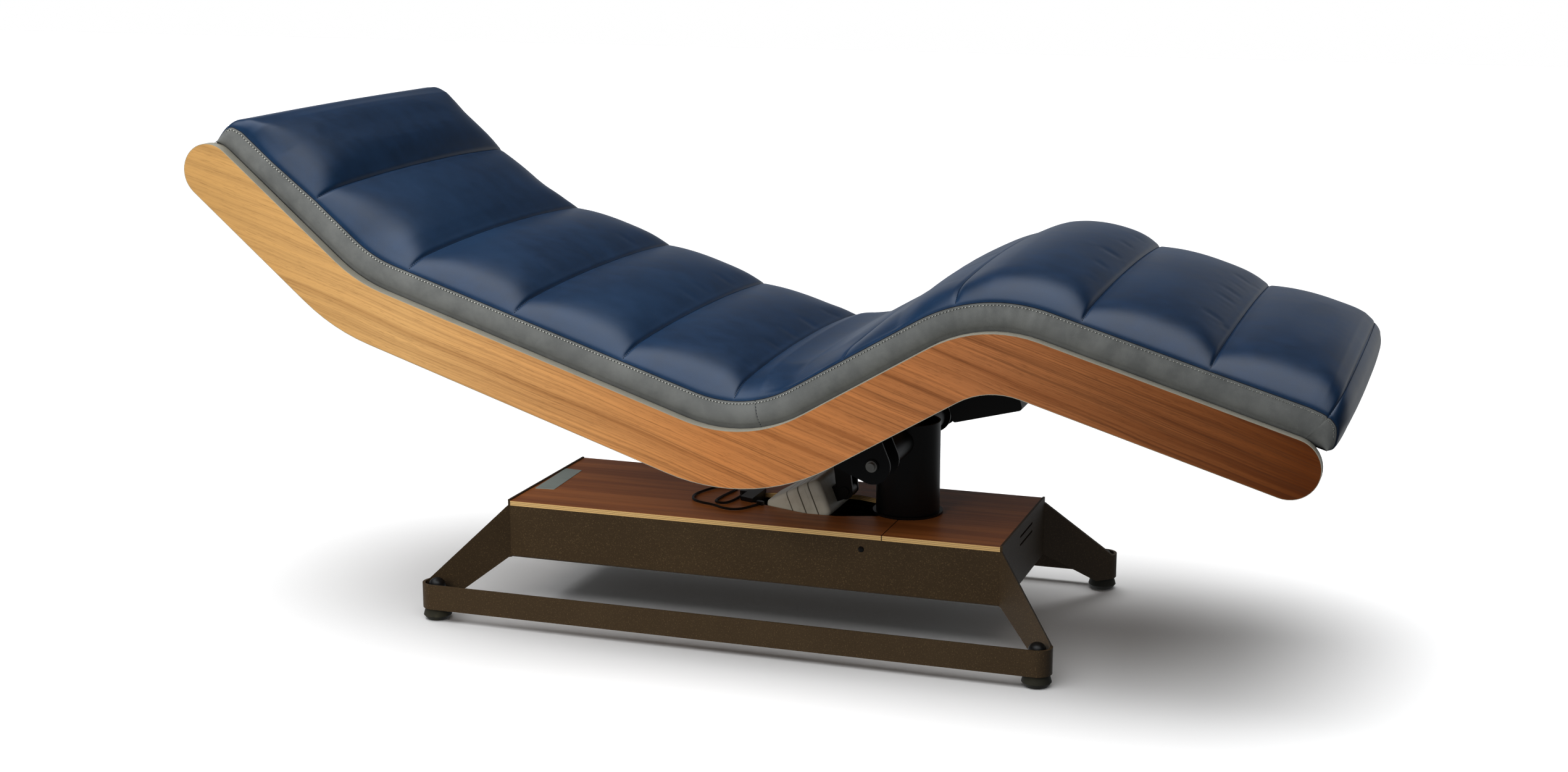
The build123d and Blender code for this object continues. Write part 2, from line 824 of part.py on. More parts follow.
lug_start = clevis_half_width + seat_clearance
lug_tube = cross_frames[2]
lug_corners = [under_cross(lug_tube, cross_size / 2), under_cross(lug_tube, -cross_size / 2)]
with BuildPart() as actuator_lugs:
    for start in (lug_start, -lug_start - lug_thickness):
        with BuildSketch(side_plane(start)):
            tipped_plate(upper_pin, lug_tip_radius, lug_corners, upper_pin_radius)
        extrude(amount=-lug_thickness)
actuator_lugs.part.label = "actuator_lugs"
export_step(actuator_lugs.part, "parts/actuator_lugs.step")


def headed_pin(centre, radius, half):
    """A pin along the width with a flat head on each end."""
    with BuildPart() as pin:
        with BuildSketch(Plane.XZ):
            with Locations(centre):
                Circle(radius)
        extrude(amount=half, both=True)
        for side in (-1, 1):
            with BuildSketch(side_plane(side * half)):
                with Locations(centre):
                    Circle(pin_head_radius)
            extrude(amount=-side * pin_head_thickness)
    return pin


upper_pin_bar = headed_pin(upper_pin, upper_pin_radius, lug_start + lug_thickness)
upper_pin_bar.part.label = "upper_pin"
export_step(upper_pin_bar.part, "parts/upper_pin.step")

with BuildPart() as actuator_clevis:
    with BuildSketch(Plane.XZ):
        with Locations(upper_pin):
            Circle(clevis_radius)
        with BuildLine():
            Polyline(
                along(0, clevis_radius),
                along(housing_start, clevis_radius),
                along(housing_start, -clevis_radius),
                along(0, -clevis_radius),
                close=True,
            )
        make_face()
        with Locations(upper_pin):
            Circle(upper_pin_radius + running_clearance, mode=Mode.SUBTRACT)
    extrude(amount=clevis_half_width, both=True)
actuator_clevis.part.label = "actuator_clevis"
export_step(actuator_clevis.part, "parts/actuator_clevis.step")


def housing_half_at(run):
    """Half the width of the housing there, kept inside the slanted edges of the board's opening."""
    rise = (board_top - along(run)[1]) / cos(radians(actuator_slope))
    crossing_x = along(run, rise)[0]
    return min(housing_half_width, opening_half_at(crossing_x) - opening_clearance)


def housing(start, end):
    """The part of the motor housing between two places on the actuator's line."""
    down = (-cos(radians(actuator_slope)), 0, -sin(radians(actuator_slope)))
    above = (-sin(radians(actuator_slope)), 0, cos(radians(actuator_slope)))
    with BuildPart() as body:
        with BuildSketch(Plane.XZ):
            with BuildLine():
                Polyline(
                    along(housing_start, housing_above),
                    along(housing_seam, housing_above),
                    along(housing_end, housing_end_above),
                    along(housing_end, -housing_end_below),
                    along(housing_seam, -housing_below),
                    along(housing_start, -housing_below),
                    close=True,
                )
            make_face()
        extrude(amount=housing_half_width + overrun, both=True)
        with BuildSketch(Plane(origin=(upper_pin_x, 0, upper_pin_z), x_dir=down, z_dir=above)):
            with BuildLine():
                Polyline(
                    (housing_start, housing_half_at(housing_start)),
                    (housing_shoulder, housing_half_at(housing_shoulder)),
                    (housing_end, housing_half_at(housing_end)),
                    (housing_end, -housing_half_at(housing_end)),
                    (housing_shoulder, -housing_half_at(housing_shoulder)),
                    (housing_start, -housing_half_at(housing_start)),
                    close=True,
                )
            make_face()
        extrude(amount=housing_above + overrun, both=True, mode=Mode.INTERSECT)
        fillet(body.edges(), housing_edge_radius)
        with BuildSketch(Plane.XZ):
            with BuildLine():
                Polyline(
                    along(start, housing_above + overrun),
                    along(end, housing_above + overrun),
                    along(end, -housing_below - overrun),
                    along(start, -housing_below - overrun),
                    close=True,
                )
            make_face()
        extrude(amount=housing_half_width + overrun, both=True, mode=Mode.INTERSECT)
    return body


housing_cover = housing(housing_start - overrun, housing_seam - seat_clearance)
housing_cover.part.label = "housing_cover"
export_step(housing_cover.part, "parts/housing_cover.step")
housing_body = housing(housing_seam, housing_end + overrun)
housing_body.part.label = "housing_body"
export_step(housing_body.part, "parts/housing_body.step")

with BuildPart() as actuator_tube:
    with BuildSketch(cross_plane(housing_end)):
        Circle(tube_radius)
        Circle(tube_radius - tube_wall, mode=Mode.SUBTRACT)
    extrude(amount=tube_end - tube_collar - housing_end)
    with BuildSketch(cross_plane(tube_end - tube_collar)):
        Circle(tube_radius)
        Circle(rod_radius + running_clearance, mode=Mode.SUBTRACT)
    extrude(amount=tube_collar)
actuator_tube.part.label = "actuator_tube"
export_step(actuator_tube.part, "parts/actuator_tube.step")

lower_pin = along(actuator_length)
with BuildPart() as actuator_rod:
    with BuildSketch(cross_plane(rod_start)):
        Circle(rod_radius)
    extrude(amount=actuator_length - rod_start)
    with BuildSketch(Plane.XZ):
        with Locations(lower_pin):
            Circle(eye_radius + eye_half_width)
    extrude(amount=rod_radius + overrun, both=True, mode=Mode.SUBTRACT)
    with BuildSketch(cross_plane(actuator_length - eye_radius - eye_half_width - eye_half_width / 2)):
        Circle(rod_radius)
    extrude(amount=eye_half_width)
    with BuildSketch(Plane.XZ):
        with Locations(lower_pin):
            Circle(eye_radius)
        with BuildLine():
            Polyline(
                along(actuator_length - eye_radius - eye_half_width, rod_radius),
                along(actuator_length, eye_radius),
                along(actuator_length, -eye_radius),
                along(actuator_length - eye_radius - eye_half_width, -rod_radius),
                close=True,
            )
        make_face()
    extrude(amount=eye_half_width, both=True)
    with BuildSketch(Plane.XZ):
        with Locations(lower_pin):
            Circle(lower_pin_radius + pin_loop_clearance)
    extrude(amount=eye_half_width + overrun, both=True, mode=Mode.SUBTRACT)
actuator_rod.part.label = "actuator_rod"
export_step(actuator_rod.part, "parts/actuator_rod.step")

ear_start = eye_half_width + seat_clearance
ear_foot = floor_top + bracket_base_thickness
with BuildPart() as actuator_bracket:
    with BuildSketch(Plane.XY.offset(floor_top)):
        with Locations((lower_pin[0], 0)):
            Rectangle(2 * bracket_base_half, 2 * bracket_base_half)
    extrude(amount=bracket_base_thickness)
    ear_corners = [
        (lower_pin[0] - bracket_base_half + bracket_base_thickness, ear_foot),
        (lower_pin[0] + bracket_base_half - bracket_base_thickness, ear_foot),
    ]
    for start in (ear_start, -ear_start - bracket_ear_thickness):
        with BuildSketch(side_plane(start)):
            tipped_plate(lower_pin, bracket_ear_radius, ear_corners, lower_pin_radius)
        extrude(amount=-bracket_ear_thickness)
actuator_bracket.part.label = "actuator_bracket"
export_step(actuator_bracket.part, "parts/actuator_bracket.step")

lower_pin_bar = headed_pin(lower_pin, lower_pin_radius, ear_start + bracket_ear_thickness)
lower_pin_bar.part.label = "lower_pin"
export_step(lower_pin_bar.part, "parts/lower_pin.step")

# Control box, hung from a cross tube under the knee

box_centre = (control_box_x, control_box_z)


def on_box(run, rise):
    """A point given along and above the sloping centre line of the control box."""
    return step(step(box_centre, run, control_box_slope), rise, control_box_slope + 90)


with BuildPart() as control_box:
    with BuildSketch(Plane.XZ):
        with Locations(box_centre):
            RectangleRounded(
                control_box_length,
                control_box_height,
                control_box_radius,
                rotation=control_box_slope,
            )
    extrude(amount=control_box_width / 2, both=True)
control_box.part.label = "control_box"
export_step(control_box.part, "parts/control_box.step")

box_tube = cross_frames[3]
with BuildPart() as box_hangers:
    for side in (-1, 1):
        with BuildSketch(side_plane(side * hanger_y)):
            with BuildLine():
                Polyline(
                    under_cross(box_tube, hanger_width / 2),
                    under_cross(box_tube, -hanger_width / 2),
                    on_box(-hanger_width / 2, control_box_height / 2),
                    on_box(hanger_width / 2, control_box_height / 2),
                    close=True,
                )
            make_face()
        extrude(amount=-side * hanger_thickness)
box_hangers.part.label = "box_hangers"
export_step(box_hangers.part, "parts/box_hangers.step")

# Supply cable with its clip and its outlet, on the long board

edge_rise = degrees(atan2(opening_half - opening_tip_half, opening_shoulder_x - opening_left_x))
clip_edge = (cable_clip_x, -opening_half_at(cable_clip_x))
away = -edge_rise - 90


def past_edge(distance):
    """The point that lies straight out from the near edge of the opening, at the clip."""
    return step(clip_edge, distance, away)


cable_level = board_top + cable_radius + seat_clearance
clip_centre = past_edge(cable_clip_back + cable_clip_length / 2)
with BuildPart() as cable_clip:
    with BuildSketch(Plane.XY.offset(board_top)):
        with Locations(clip_centre):
            RectangleRounded(cable_clip_width, cable_clip_length, outlet_corner_radius, rotation=-edge_rise)
    extrude(amount=cable_clip_height)
cable_clip.part.label = "cable_clip"
export_step(cable_clip.part, "parts/cable_clip.step")

lap_rise = outlet_lap / cos(radians(edge_rise))
outlet_left = opening_left_x - outlet_lap
with BuildPart() as cable_outlet:
    with BuildSketch(Plane.XY.offset(tray_top)):
        with BuildLine():
            Polyline(
                (opening_left_x + board_clearance, -opening_tip_half + opening_corner_radius),
                (opening_left_x + opening_corner_radius, -opening_tip_half),
                (outlet_right_x, -opening_half_at(outlet_right_x) + board_clearance + board_clearance),
                (outlet_right_x, opening_half_at(outlet_right_x) - board_clearance - board_clearance),
                (opening_left_x + opening_corner_radius, opening_tip_half),
                (opening_left_x + board_clearance, opening_tip_half - opening_corner_radius),
                close=True,
            )
        make_face()
    extrude(amount=board_thickness)
    with BuildSketch(Plane.XY.offset(board_top)):
        with BuildLine():
            Polyline(
                (outlet_left, -opening_half_at(outlet_left) - lap_rise),
                (outlet_right_x, -opening_half_at(outlet_right_x) - lap_rise),
                (outlet_right_x, opening_half_at(outlet_right_x) + lap_rise),
                (outlet_left, opening_half_at(outlet_left) + lap_rise),
                (outlet_left, outlet_ear_y),
                (outlet_ear_x, outlet_ear_y),
                (outlet_ear_x, cable_end_y),
                (outlet_left, cable_end_y),
                close=True,
            )
        make_face()
    extrude(amount=outlet_height)
cable_outlet.part.label = "cable_outlet"
export_step(cable_outlet.part, "parts/cable_outlet.step")

cable_route = [
    past_edge(cable_clip_back + cable_clip_length),
    past_edge(cable_clip_back + cable_clip_length + cable_run),
    *zip(cable_xs, cable_ys),
    (cable_end_x, cable_end_y),
]
cable_radii = []
for before, corner, after in zip(cable_route, cable_route[1:], cable_route[2:]):
    run_in = (corner[0] - before[0], corner[1] - before[1])
    run_out = (after[0] - corner[0], after[1] - corner[1])
    turn = abs(degrees(atan2(run_out[1], run_out[0]) - atan2(run_in[1], run_in[0])))
    turn = min(turn, 360 - turn)
    shorter = min(hypot(*run_in), hypot(*run_out))
    cable_radii.append(cable_tension_share * shorter / tan(radians(turn / 2)))
    print("cable bend", round(turn, 1), "degrees, radius", round(cable_radii[-1], 1))
with BuildPart() as supply_cable:
    with BuildLine(Plane.XY.offset(cable_level)) as cable_path:
        FilletPolyline(*cable_route, radius=cable_radii)
    cable_start = Plane(origin=cable_path.line @ 0, z_dir=cable_path.line % 0)
    with BuildSketch(cable_start):
        Circle(cable_radius)
    sweep(path=cable_path.line)
supply_cable.part.label = "supply_cable"
cable_length = cable_path.wires()[0].length
cable_share = supply_cable.part.volume / (pi * cable_radius**2 * cable_length)
print("cable length", round(cable_length), "volume share", round(cable_share, 4))
export_step(supply_cable.part, "parts/supply_cable.step")

# Cushion: a ruled loft along the wave line, crowned between its sewn channels

seam_table = list(zip(pad_head_places, pad_head_seams))
seam_table.append((channel_places[0], pad_seam))
seam_table.append((channel_places[-1], pad_seam))
seam_table += [(wave_length + reach, seam) for reach, seam in zip(pad_foot_reaches, pad_foot_seams)]


def seam_at(distance):
    """Level of the border seam at a distance along the wave line."""
    for (start, low), (end, high) in zip(seam_table, seam_table[1:]):
        if distance <= end:
            return low + (high - low) * (distance - start) / (end - start)
    return seam_table[-1][1]


def pad_section(distance, fullness):
    """The cushion's section there; fullness runs from 0 in a channel to 1 between two."""
    inside = min(max(distance, 0), wave_length)
    x, z, slope = wave_frame(inside, 0, distance - inside)
    heading = (cos(radians(slope)), 0, sin(radians(slope)))
    seam = seam_at(distance)
    rise = pad_crease_rise + fullness * (pad_roll_rise - pad_crease_rise)
    crown = pad_crease + fullness * (pad_crown - pad_crease)
    shoulder = pad_half_width - pad_roll
    with BuildSketch(Plane(origin=(x, 0, z), x_dir=(0, 1, 0), z_dir=heading)) as section:
        with BuildLine():
            Line((-pad_half_width, pad_loft_level), (pad_half_width, pad_loft_level))
            for side in (-1, 1):
                ThreePointArc(
                    (side * pad_half_width, pad_loft_level),
                    (side * (pad_half_width - pad_draw_in), (pad_loft_level + seam) / 2),
                    (side * pad_half_width, seam),
                )
                ThreePointArc(
                    (side * pad_half_width, seam),
                    (side * (shoulder + pad_roll * cos(radians(45))), seam + rise * sin(radians(45))),
                    (side * shoulder, seam + rise),
                )
            ThreePointArc((-shoulder, seam + rise), (0, seam + rise + crown), (shoulder, seam + rise))
        make_face()
    return section.sketch


channel_sides = (
    (-channel_far, 1 - channel_far_share),
    (-channel_near, 1 - channel_near_share),
    (0, 1),
    (channel_near, 1 - channel_near_share),
    (channel_far, 1 - channel_far_share),
)
pad_places = list(zip(pad_head_places, pad_head_full_shares))
for place, after, depth in zip(channel_places, (*channel_places[1:], wave_length), channel_depth_shares):
    for aside, sunk_share in channel_sides:
        pad_places.append((place + aside, 1 - depth * sunk_share))
    pad_places.append(((place + after) / 2, 1))
for reach, fullness in zip(pad_foot_reaches, pad_foot_full_shares):
    pad_places.append((wave_length + reach, fullness))

with BuildPart() as cushion:
    loft([pad_section(distance, fullness) for distance, fullness in pad_places], ruled=True)
    with BuildSketch(Plane.XZ):
        wave_outline(
            0,
            pad_level + seat_clearance,
            overrun - pad_head_places[0],
            overrun + pad_foot_reaches[-1],
        )
    extrude(amount=pad_half_width + overrun, both=True, mode=Mode.SUBTRACT)
cushion.part.label = "cushion"
export_step(cushion.part, "parts/cushion.step")
print("cushion", cushion.part.bounding_box(), "volume", round(cushion.part.volume))
print("wave length", round(wave_length, 1), "leg angle", round(leg_angle, 2), "lower pin", lower_pin)
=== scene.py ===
"""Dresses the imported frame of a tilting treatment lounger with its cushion, finishes and stage."""

import json
import logging
import math
from collections.abc import Iterable, Sequence
from dataclasses import dataclass, field
from enum import Enum

import bmesh
import bpy
import numpy as np
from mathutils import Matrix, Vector

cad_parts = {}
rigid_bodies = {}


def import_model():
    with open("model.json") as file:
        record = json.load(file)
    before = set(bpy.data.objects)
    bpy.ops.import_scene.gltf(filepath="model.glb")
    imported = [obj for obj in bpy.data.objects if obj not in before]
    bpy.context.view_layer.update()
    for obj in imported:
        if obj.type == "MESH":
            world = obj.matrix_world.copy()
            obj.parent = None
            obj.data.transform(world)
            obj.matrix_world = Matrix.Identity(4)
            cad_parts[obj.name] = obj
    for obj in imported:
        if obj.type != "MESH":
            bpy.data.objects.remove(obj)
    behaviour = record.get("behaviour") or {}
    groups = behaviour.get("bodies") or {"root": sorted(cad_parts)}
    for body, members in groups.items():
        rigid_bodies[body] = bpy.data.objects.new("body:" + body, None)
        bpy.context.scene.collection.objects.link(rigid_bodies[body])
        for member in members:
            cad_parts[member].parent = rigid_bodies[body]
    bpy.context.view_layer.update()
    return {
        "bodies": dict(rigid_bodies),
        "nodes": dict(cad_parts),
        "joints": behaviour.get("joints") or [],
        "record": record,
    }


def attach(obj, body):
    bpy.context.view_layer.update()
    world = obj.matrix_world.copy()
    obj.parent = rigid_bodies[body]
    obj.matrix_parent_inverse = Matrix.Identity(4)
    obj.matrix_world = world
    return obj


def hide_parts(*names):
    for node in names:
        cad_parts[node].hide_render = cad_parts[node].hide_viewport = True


LOG = logging.getLogger("lounger")

Span = tuple[float, float]
Triple = tuple[float, float, float]
Row = tuple[np.ndarray, np.ndarray]


class Side(Enum):
    """The two long sides of the lounger, by the sign of Y."""

    NEAR = -1
    FAR = 1


class Body(Enum):
    """Rigid bodies that pieces ride on."""

    BASE = "base"
    LOUNGER = "lounger"


class Sheet(Enum):
    """The cushion's materials, by the number of their slot."""

    TOP = 0
    BORDER = 1
    # The underside's dark cloth, also put on a thin strip under each border seam as painted shade.
    LINING = 2


# Node tools


class Port:
    """An output of a node that can stand in Python expressions."""

    def __init__(self, graph: "Graph", socket: bpy.types.NodeSocket) -> None:
        """Keeps the graph and the socket."""
        self.graph = graph
        self.socket = socket

    def __add__(self, other: "Port | float") -> "Port":
        """Sum."""
        return self.graph.maths("ADD", self, other)

    def __radd__(self, other: float) -> "Port":
        """Sum with a number on the left."""
        return self.graph.maths("ADD", other, self)

    def __sub__(self, other: "Port | float") -> "Port":
        """Difference."""
        return self.graph.maths("SUBTRACT", self, other)

    def __rsub__(self, other: float) -> "Port":
        """Difference from a number."""
        return self.graph.maths("SUBTRACT", other, self)

    def __mul__(self, other: "Port | float") -> "Port":
        """Product."""
        return self.graph.maths("MULTIPLY", self, other)

    def __rmul__(self, other: float) -> "Port":
        """Product with a number on the left."""
        return self.graph.maths("MULTIPLY", other, self)

    def absolute(self) -> "Port":
        """Absolute value."""
        return self.graph.maths("ABSOLUTE", self, 0.0)

    def wrapped(self) -> "Port":
        """Fraction after the point."""
        return self.graph.maths("FRACT", self, 0.0)

    def least(self, other: "Port | float") -> "Port":
        """The smaller of two values."""
        return self.graph.maths("MINIMUM", self, other)

    def line(self, start: float, gain: float) -> "Port":
        """The start plus the gain times this value."""
        return start + self * gain

    def ramp(
        self, low: float, high: float, start: float = 0.0, end: float = 1.0, even: bool = False
    ) -> "Port":
        """Steps from one value to another, smoothly or evenly.

        Args:
            low: Where the step begins.
            high: Where it ends.
            start: The value up to its beginning.
            end: The value from its end on.
            even: Whether it rises in a straight line.

        Returns:
            The stepped value.
        """
        settings = {"interpolation_type": "LINEAR" if even else "SMOOTHSTEP"}
        values = {"Value": self, 1: low, 2: high, 3: start, 4: end}
        return self.graph.node("ShaderNodeMapRange", settings, values)


class Graph:
    """Adds nodes to one node tree and joins them."""

    def __init__(self, tree: bpy.types.NodeTree) -> None:
        """Keeps the tree and empties it."""
        self.tree = tree
        self.tree.nodes.clear()

    def node(
        self,
        kind: str,
        settings: dict[str, object] | None = None,
        values: dict[str | int, object] | None = None,
        out: str | int = 0,
    ) -> Port:
        """Adds a node.

        Args:
            kind: The node's type.
            settings: Its own properties, set first; "stops" fills a colour ramp.
            values: Numbers, colours or ports for its inputs, by name or index.
            out: The output that is wanted.

        Returns:
            That output.
        """
        made = self.tree.nodes.new(kind)
        for key, value in (settings or {}).items():
            if key == "stops":
                self._fill_ramp(made.color_ramp, value)
            else:
                setattr(made, key, value)
        for key, value in (values or {}).items():
            self._feed(made.inputs[key], value)
        return Port(self, made.outputs[out])

    def close(self, kind: str, result: Port) -> None:
        """Adds the tree's output node and links the result to it."""
        self.tree.links.new(result.socket, self.tree.nodes.new(kind).inputs[0])

    @staticmethod
    def _fill_ramp(ramp: bpy.types.ColorRamp, stops: Sequence[tuple[float, Triple]]) -> None:
        """Gives a colour ramp its stops.

        Args:
            ramp: The ramp.
            stops: Places and colours along it.
        """
        while len(ramp.elements) < len(stops):
            ramp.elements.new(1.0)
        for element, (position, colour) in zip(ramp.elements, stops):
            element.position = position
            element.color = (*colour, 1.0)

    def _feed(self, socket: bpy.types.NodeSocket, value: object) -> None:
        """Links a port to an input, or sets a number or colour there.

        Args:
            socket: The input.
            value: A port, or what the input holds by itself.
        """
        if isinstance(value, Port):
            self.tree.links.new(value.socket, socket)
        elif isinstance(value, tuple) and len(value) == 3 and len(socket.default_value) == 4:
            socket.default_value = (*value, 1.0)
        else:
            socket.default_value = value

    def maths(self, operation: str, first: Port | float, second: Port | float) -> Port:
        """Adds a Math node for two values."""
        return self.node("ShaderNodeMath", {"operation": operation}, {0: first, 1: second})

    def vectors(
        self, operation: str, first: Port | Triple, second: Port | Triple, out: str = "Vector"
    ) -> Port:
        """Adds a Vector Math node for two vectors."""
        return self.node("ShaderNodeVectorMath", {"operation": operation}, {0: first, 1: second}, out)

    def split(self, vector: Port) -> tuple[Port, Port, Port]:
        """The X, Y and Z of a vector."""
        parts = self.node("ShaderNodeSeparateXYZ", values={0: vector})
        return tuple(Port(self, socket) for socket in parts.socket.node.outputs)


class Recipe(Graph):
    """Builds one node material around a Principled shader."""

    def __init__(self, name: str) -> None:
        """Makes a plain material of that name.

        Args:
            name: The material's name.
        """
        self.material = bpy.data.materials.new(name)
        self.material.use_nodes = True
        super().__init__(self.material.node_tree)
        self.shader = self.node("ShaderNodeBsdfPrincipled")
        self.close("ShaderNodeOutputMaterial", self.shader)
        self.place = self.node("ShaderNodeTexCoord", out="Object")

    def blend(
        self, factor: Port | float, first: Port | Triple, second: Port | Triple, kind: str = "MIX"
    ) -> Port:
        """Mixes two colours by a factor."""
        settings = {"data_type": "RGBA", "blend_type": kind}
        return self.node("ShaderNodeMix", settings, {0: factor, 6: first, 7: second}, out=2)

    def tones(self, factor: Port, stops: Iterable[tuple[float, Triple]]) -> Port:
        """Picks a colour from a ramp of stops."""
        return self.node("ShaderNodeValToRGB", {"stops": tuple(stops)}, {0: factor})

    def stretched(self, scale: Triple, turn: float = 0.0) -> Port:
        """Object coordinates turned about Y and then scaled.

        Args:
            scale: Factors along the three axes.
            turn: The turn in degrees.

        Returns:
            The changed coordinates.
        """
        values = {"Vector": self.place, "Angle": math.radians(turn)}
        turned = self.node("ShaderNodeVectorRotate", {"rotation_type": "Y_AXIS"}, values)
        return self.vectors("MULTIPLY", turned, scale)

    def noise(self, scale: float, detail: float = 3.0, rough: float = 0.5, at: Port | None = None) -> Port:
        """Noise between 0 and 1.

        Args:
            scale: How many features lie in a metre.
            detail: How many finer layers are added.
            rough: How strong each finer layer is.
            at: Coordinates, if not the object's own.

        Returns:
            The noise.
        """
        where = self.place if at is None else at
        values = {"Vector": where, "Scale": scale, "Detail": detail, "Roughness": rough}
        return self.node("ShaderNodeTexNoise", values=values)

    def bump(self, height: Port, strength: float, distance: float) -> Port:
        """A Bump node fed by a height."""
        values = {"Strength": strength, "Distance": distance, "Height": height}
        return self.node("ShaderNodeBump", values=values)

    def finish(self, **sockets: object) -> bpy.types.Material:
        """Feeds the Principled shader and returns the material.

        Args:
            sockets: Values by socket name, with underscores for spaces.

        Returns:
            The material.
        """
        for key, value in sockets.items():
            self._feed(self.shader.socket.node.inputs[key.replace("_", " ")], value)
        return self.material


def srgb(code: str) -> Triple:
    """Linear colour of a six-digit code."""
    parts = [int(code[index : index + 2], 16) / 255 for index in (0, 2, 4)]
    return tuple(p / 12.92 if p <= 0.04045 else ((p + 0.055) / 1.055) ** 2.4 for p in parts)


# Finishes


# A noise is given as its scale, detail and roughness, or those of them that its class doesn't work out.
# A span holds the two ends of a smooth step, a growth a start value and the gain on it, and a pair of
# relief a bump's strength and its distance in metres.


@dataclass(frozen=True)
class Veneer:
    """Straight-grained walnut veneer that darkens from the head end to the foot end: partly the wood's own
    tone, partly painted shade for the light falling off towards the foot.
    """

    name: str = "walnut_veneer"
    # From pale to deep the tones darken towards the foot end; part of that darkening is painted shade.
    pale: str = "b48c56"
    honey: str = "c89d66"
    middle: str = "b87946"
    russet: str = "a86c42"
    deep: str = "66330f"
    vein: str = "4a2a18"
    tone_and_shade_places: tuple[float, ...] = (0.0, 0.2, 0.5, 0.74, 1.0)
    head_x: float = -0.95
    foot_x: float = 0.95
    turn: float = -18.3
    drift_scale: Triple = (2.2, 3.0, 9.0)
    drift_noise: Triple = (1.0, 2.0, 0.5)
    drift: float = 0.022
    pore_scale: Triple = (46.0, 40.0, 980.0)
    wide_scale: Triple = (1.1, 4.0, 60.0)
    vein_scale: Triple = (1.5, 6.0, 330.0)
    pore_noise: Triple = (1.0, 3.0, 0.62)
    wide_noise: Triple = (1.0, 5.0, 0.62)
    vein_noise: Triple = (1.0, 4.0, 0.62)
    pore_span: Span = (0.54, 0.68)
    vein_span: Span = (0.47, 0.66)
    pore_growth: Span = (0.24, 0.18)
    wide_growth: Span = (0.38, 0.37)
    vein_growth: Span = (0.14, 0.42)
    dark_streak: tuple[float, Triple] = (0.36, (0.62, 0.53, 0.46))
    plain_streak: tuple[float, Triple] = (0.50, (1.0, 1.0, 1.0))
    light_streak: tuple[float, Triple] = (0.64, (1.30, 1.28, 1.22))
    pore_height: float = 0.6
    wide_height: float = 0.4
    roughness: Span = (0.42, 0.12)
    gloss: float = 0.25
    relief: Span = (0.12, 0.0006)

    def grain(self, mix: Recipe) -> tuple[Port, Port, Port]:
        """Fine pores, wide streaks and dark veins, each from 0 to 1, drawn out along one drifting grain.

        Args:
            mix: The material's recipe.

        Returns:
            Pores, streaks and veins.
        """
        drift = mix.noise(*self.drift_noise, mix.stretched(self.drift_scale, self.turn))
        aside = mix.node("ShaderNodeCombineXYZ", values={2: drift * self.drift})
        bent = mix.vectors("ADD", mix.stretched((1.0, 1.0, 1.0), self.turn), aside)
        kinds = (
            (self.pore_scale, self.pore_noise),
            (self.wide_scale, self.wide_noise),
            (self.vein_scale, self.vein_noise),
        )
        drawn = (mix.noise(*noise, mix.vectors("MULTIPLY", bent, scale)) for scale, noise in kinds)
        pores, wide, veins = drawn
        return pores, wide, veins.ramp(*self.vein_span)

    def material(self) -> bpy.types.Material:
        """Builds the node material.

        Returns:
            The material.
        """
        mix = Recipe(self.name)
        pores, wide, veins = self.grain(mix)
        x, _, _ = mix.split(mix.place)
        along = (x - self.head_x) * (1.0 / (self.foot_x - self.head_x))
        colours = (self.pale, self.honey, self.middle, self.russet, self.deep)
        # Tone by place from head to foot: wood colour with painted shade mixed in, darker towards the foot.
        base = mix.tones(along, zip(self.tone_and_shade_places, map(srgb, colours)))
        streaks = mix.tones(wide, (self.dark_streak, self.plain_streak, self.light_streak))
        light = mix.blend(along.line(*self.wide_growth), base, streaks, "MULTIPLY")
        veined = mix.blend(veins * along.line(*self.vein_growth), light, srgb(self.vein))
        dark = pores.ramp(*self.pore_span) * along.line(*self.pore_growth)
        return mix.finish(
            Base_Color=mix.blend(dark, veined, srgb(self.vein)),
            Roughness=pores.line(*self.roughness),
            Specular_IOR_Level=self.gloss,
            Normal=mix.bump(pores * self.pore_height + wide * self.wide_height, *self.relief),
        )


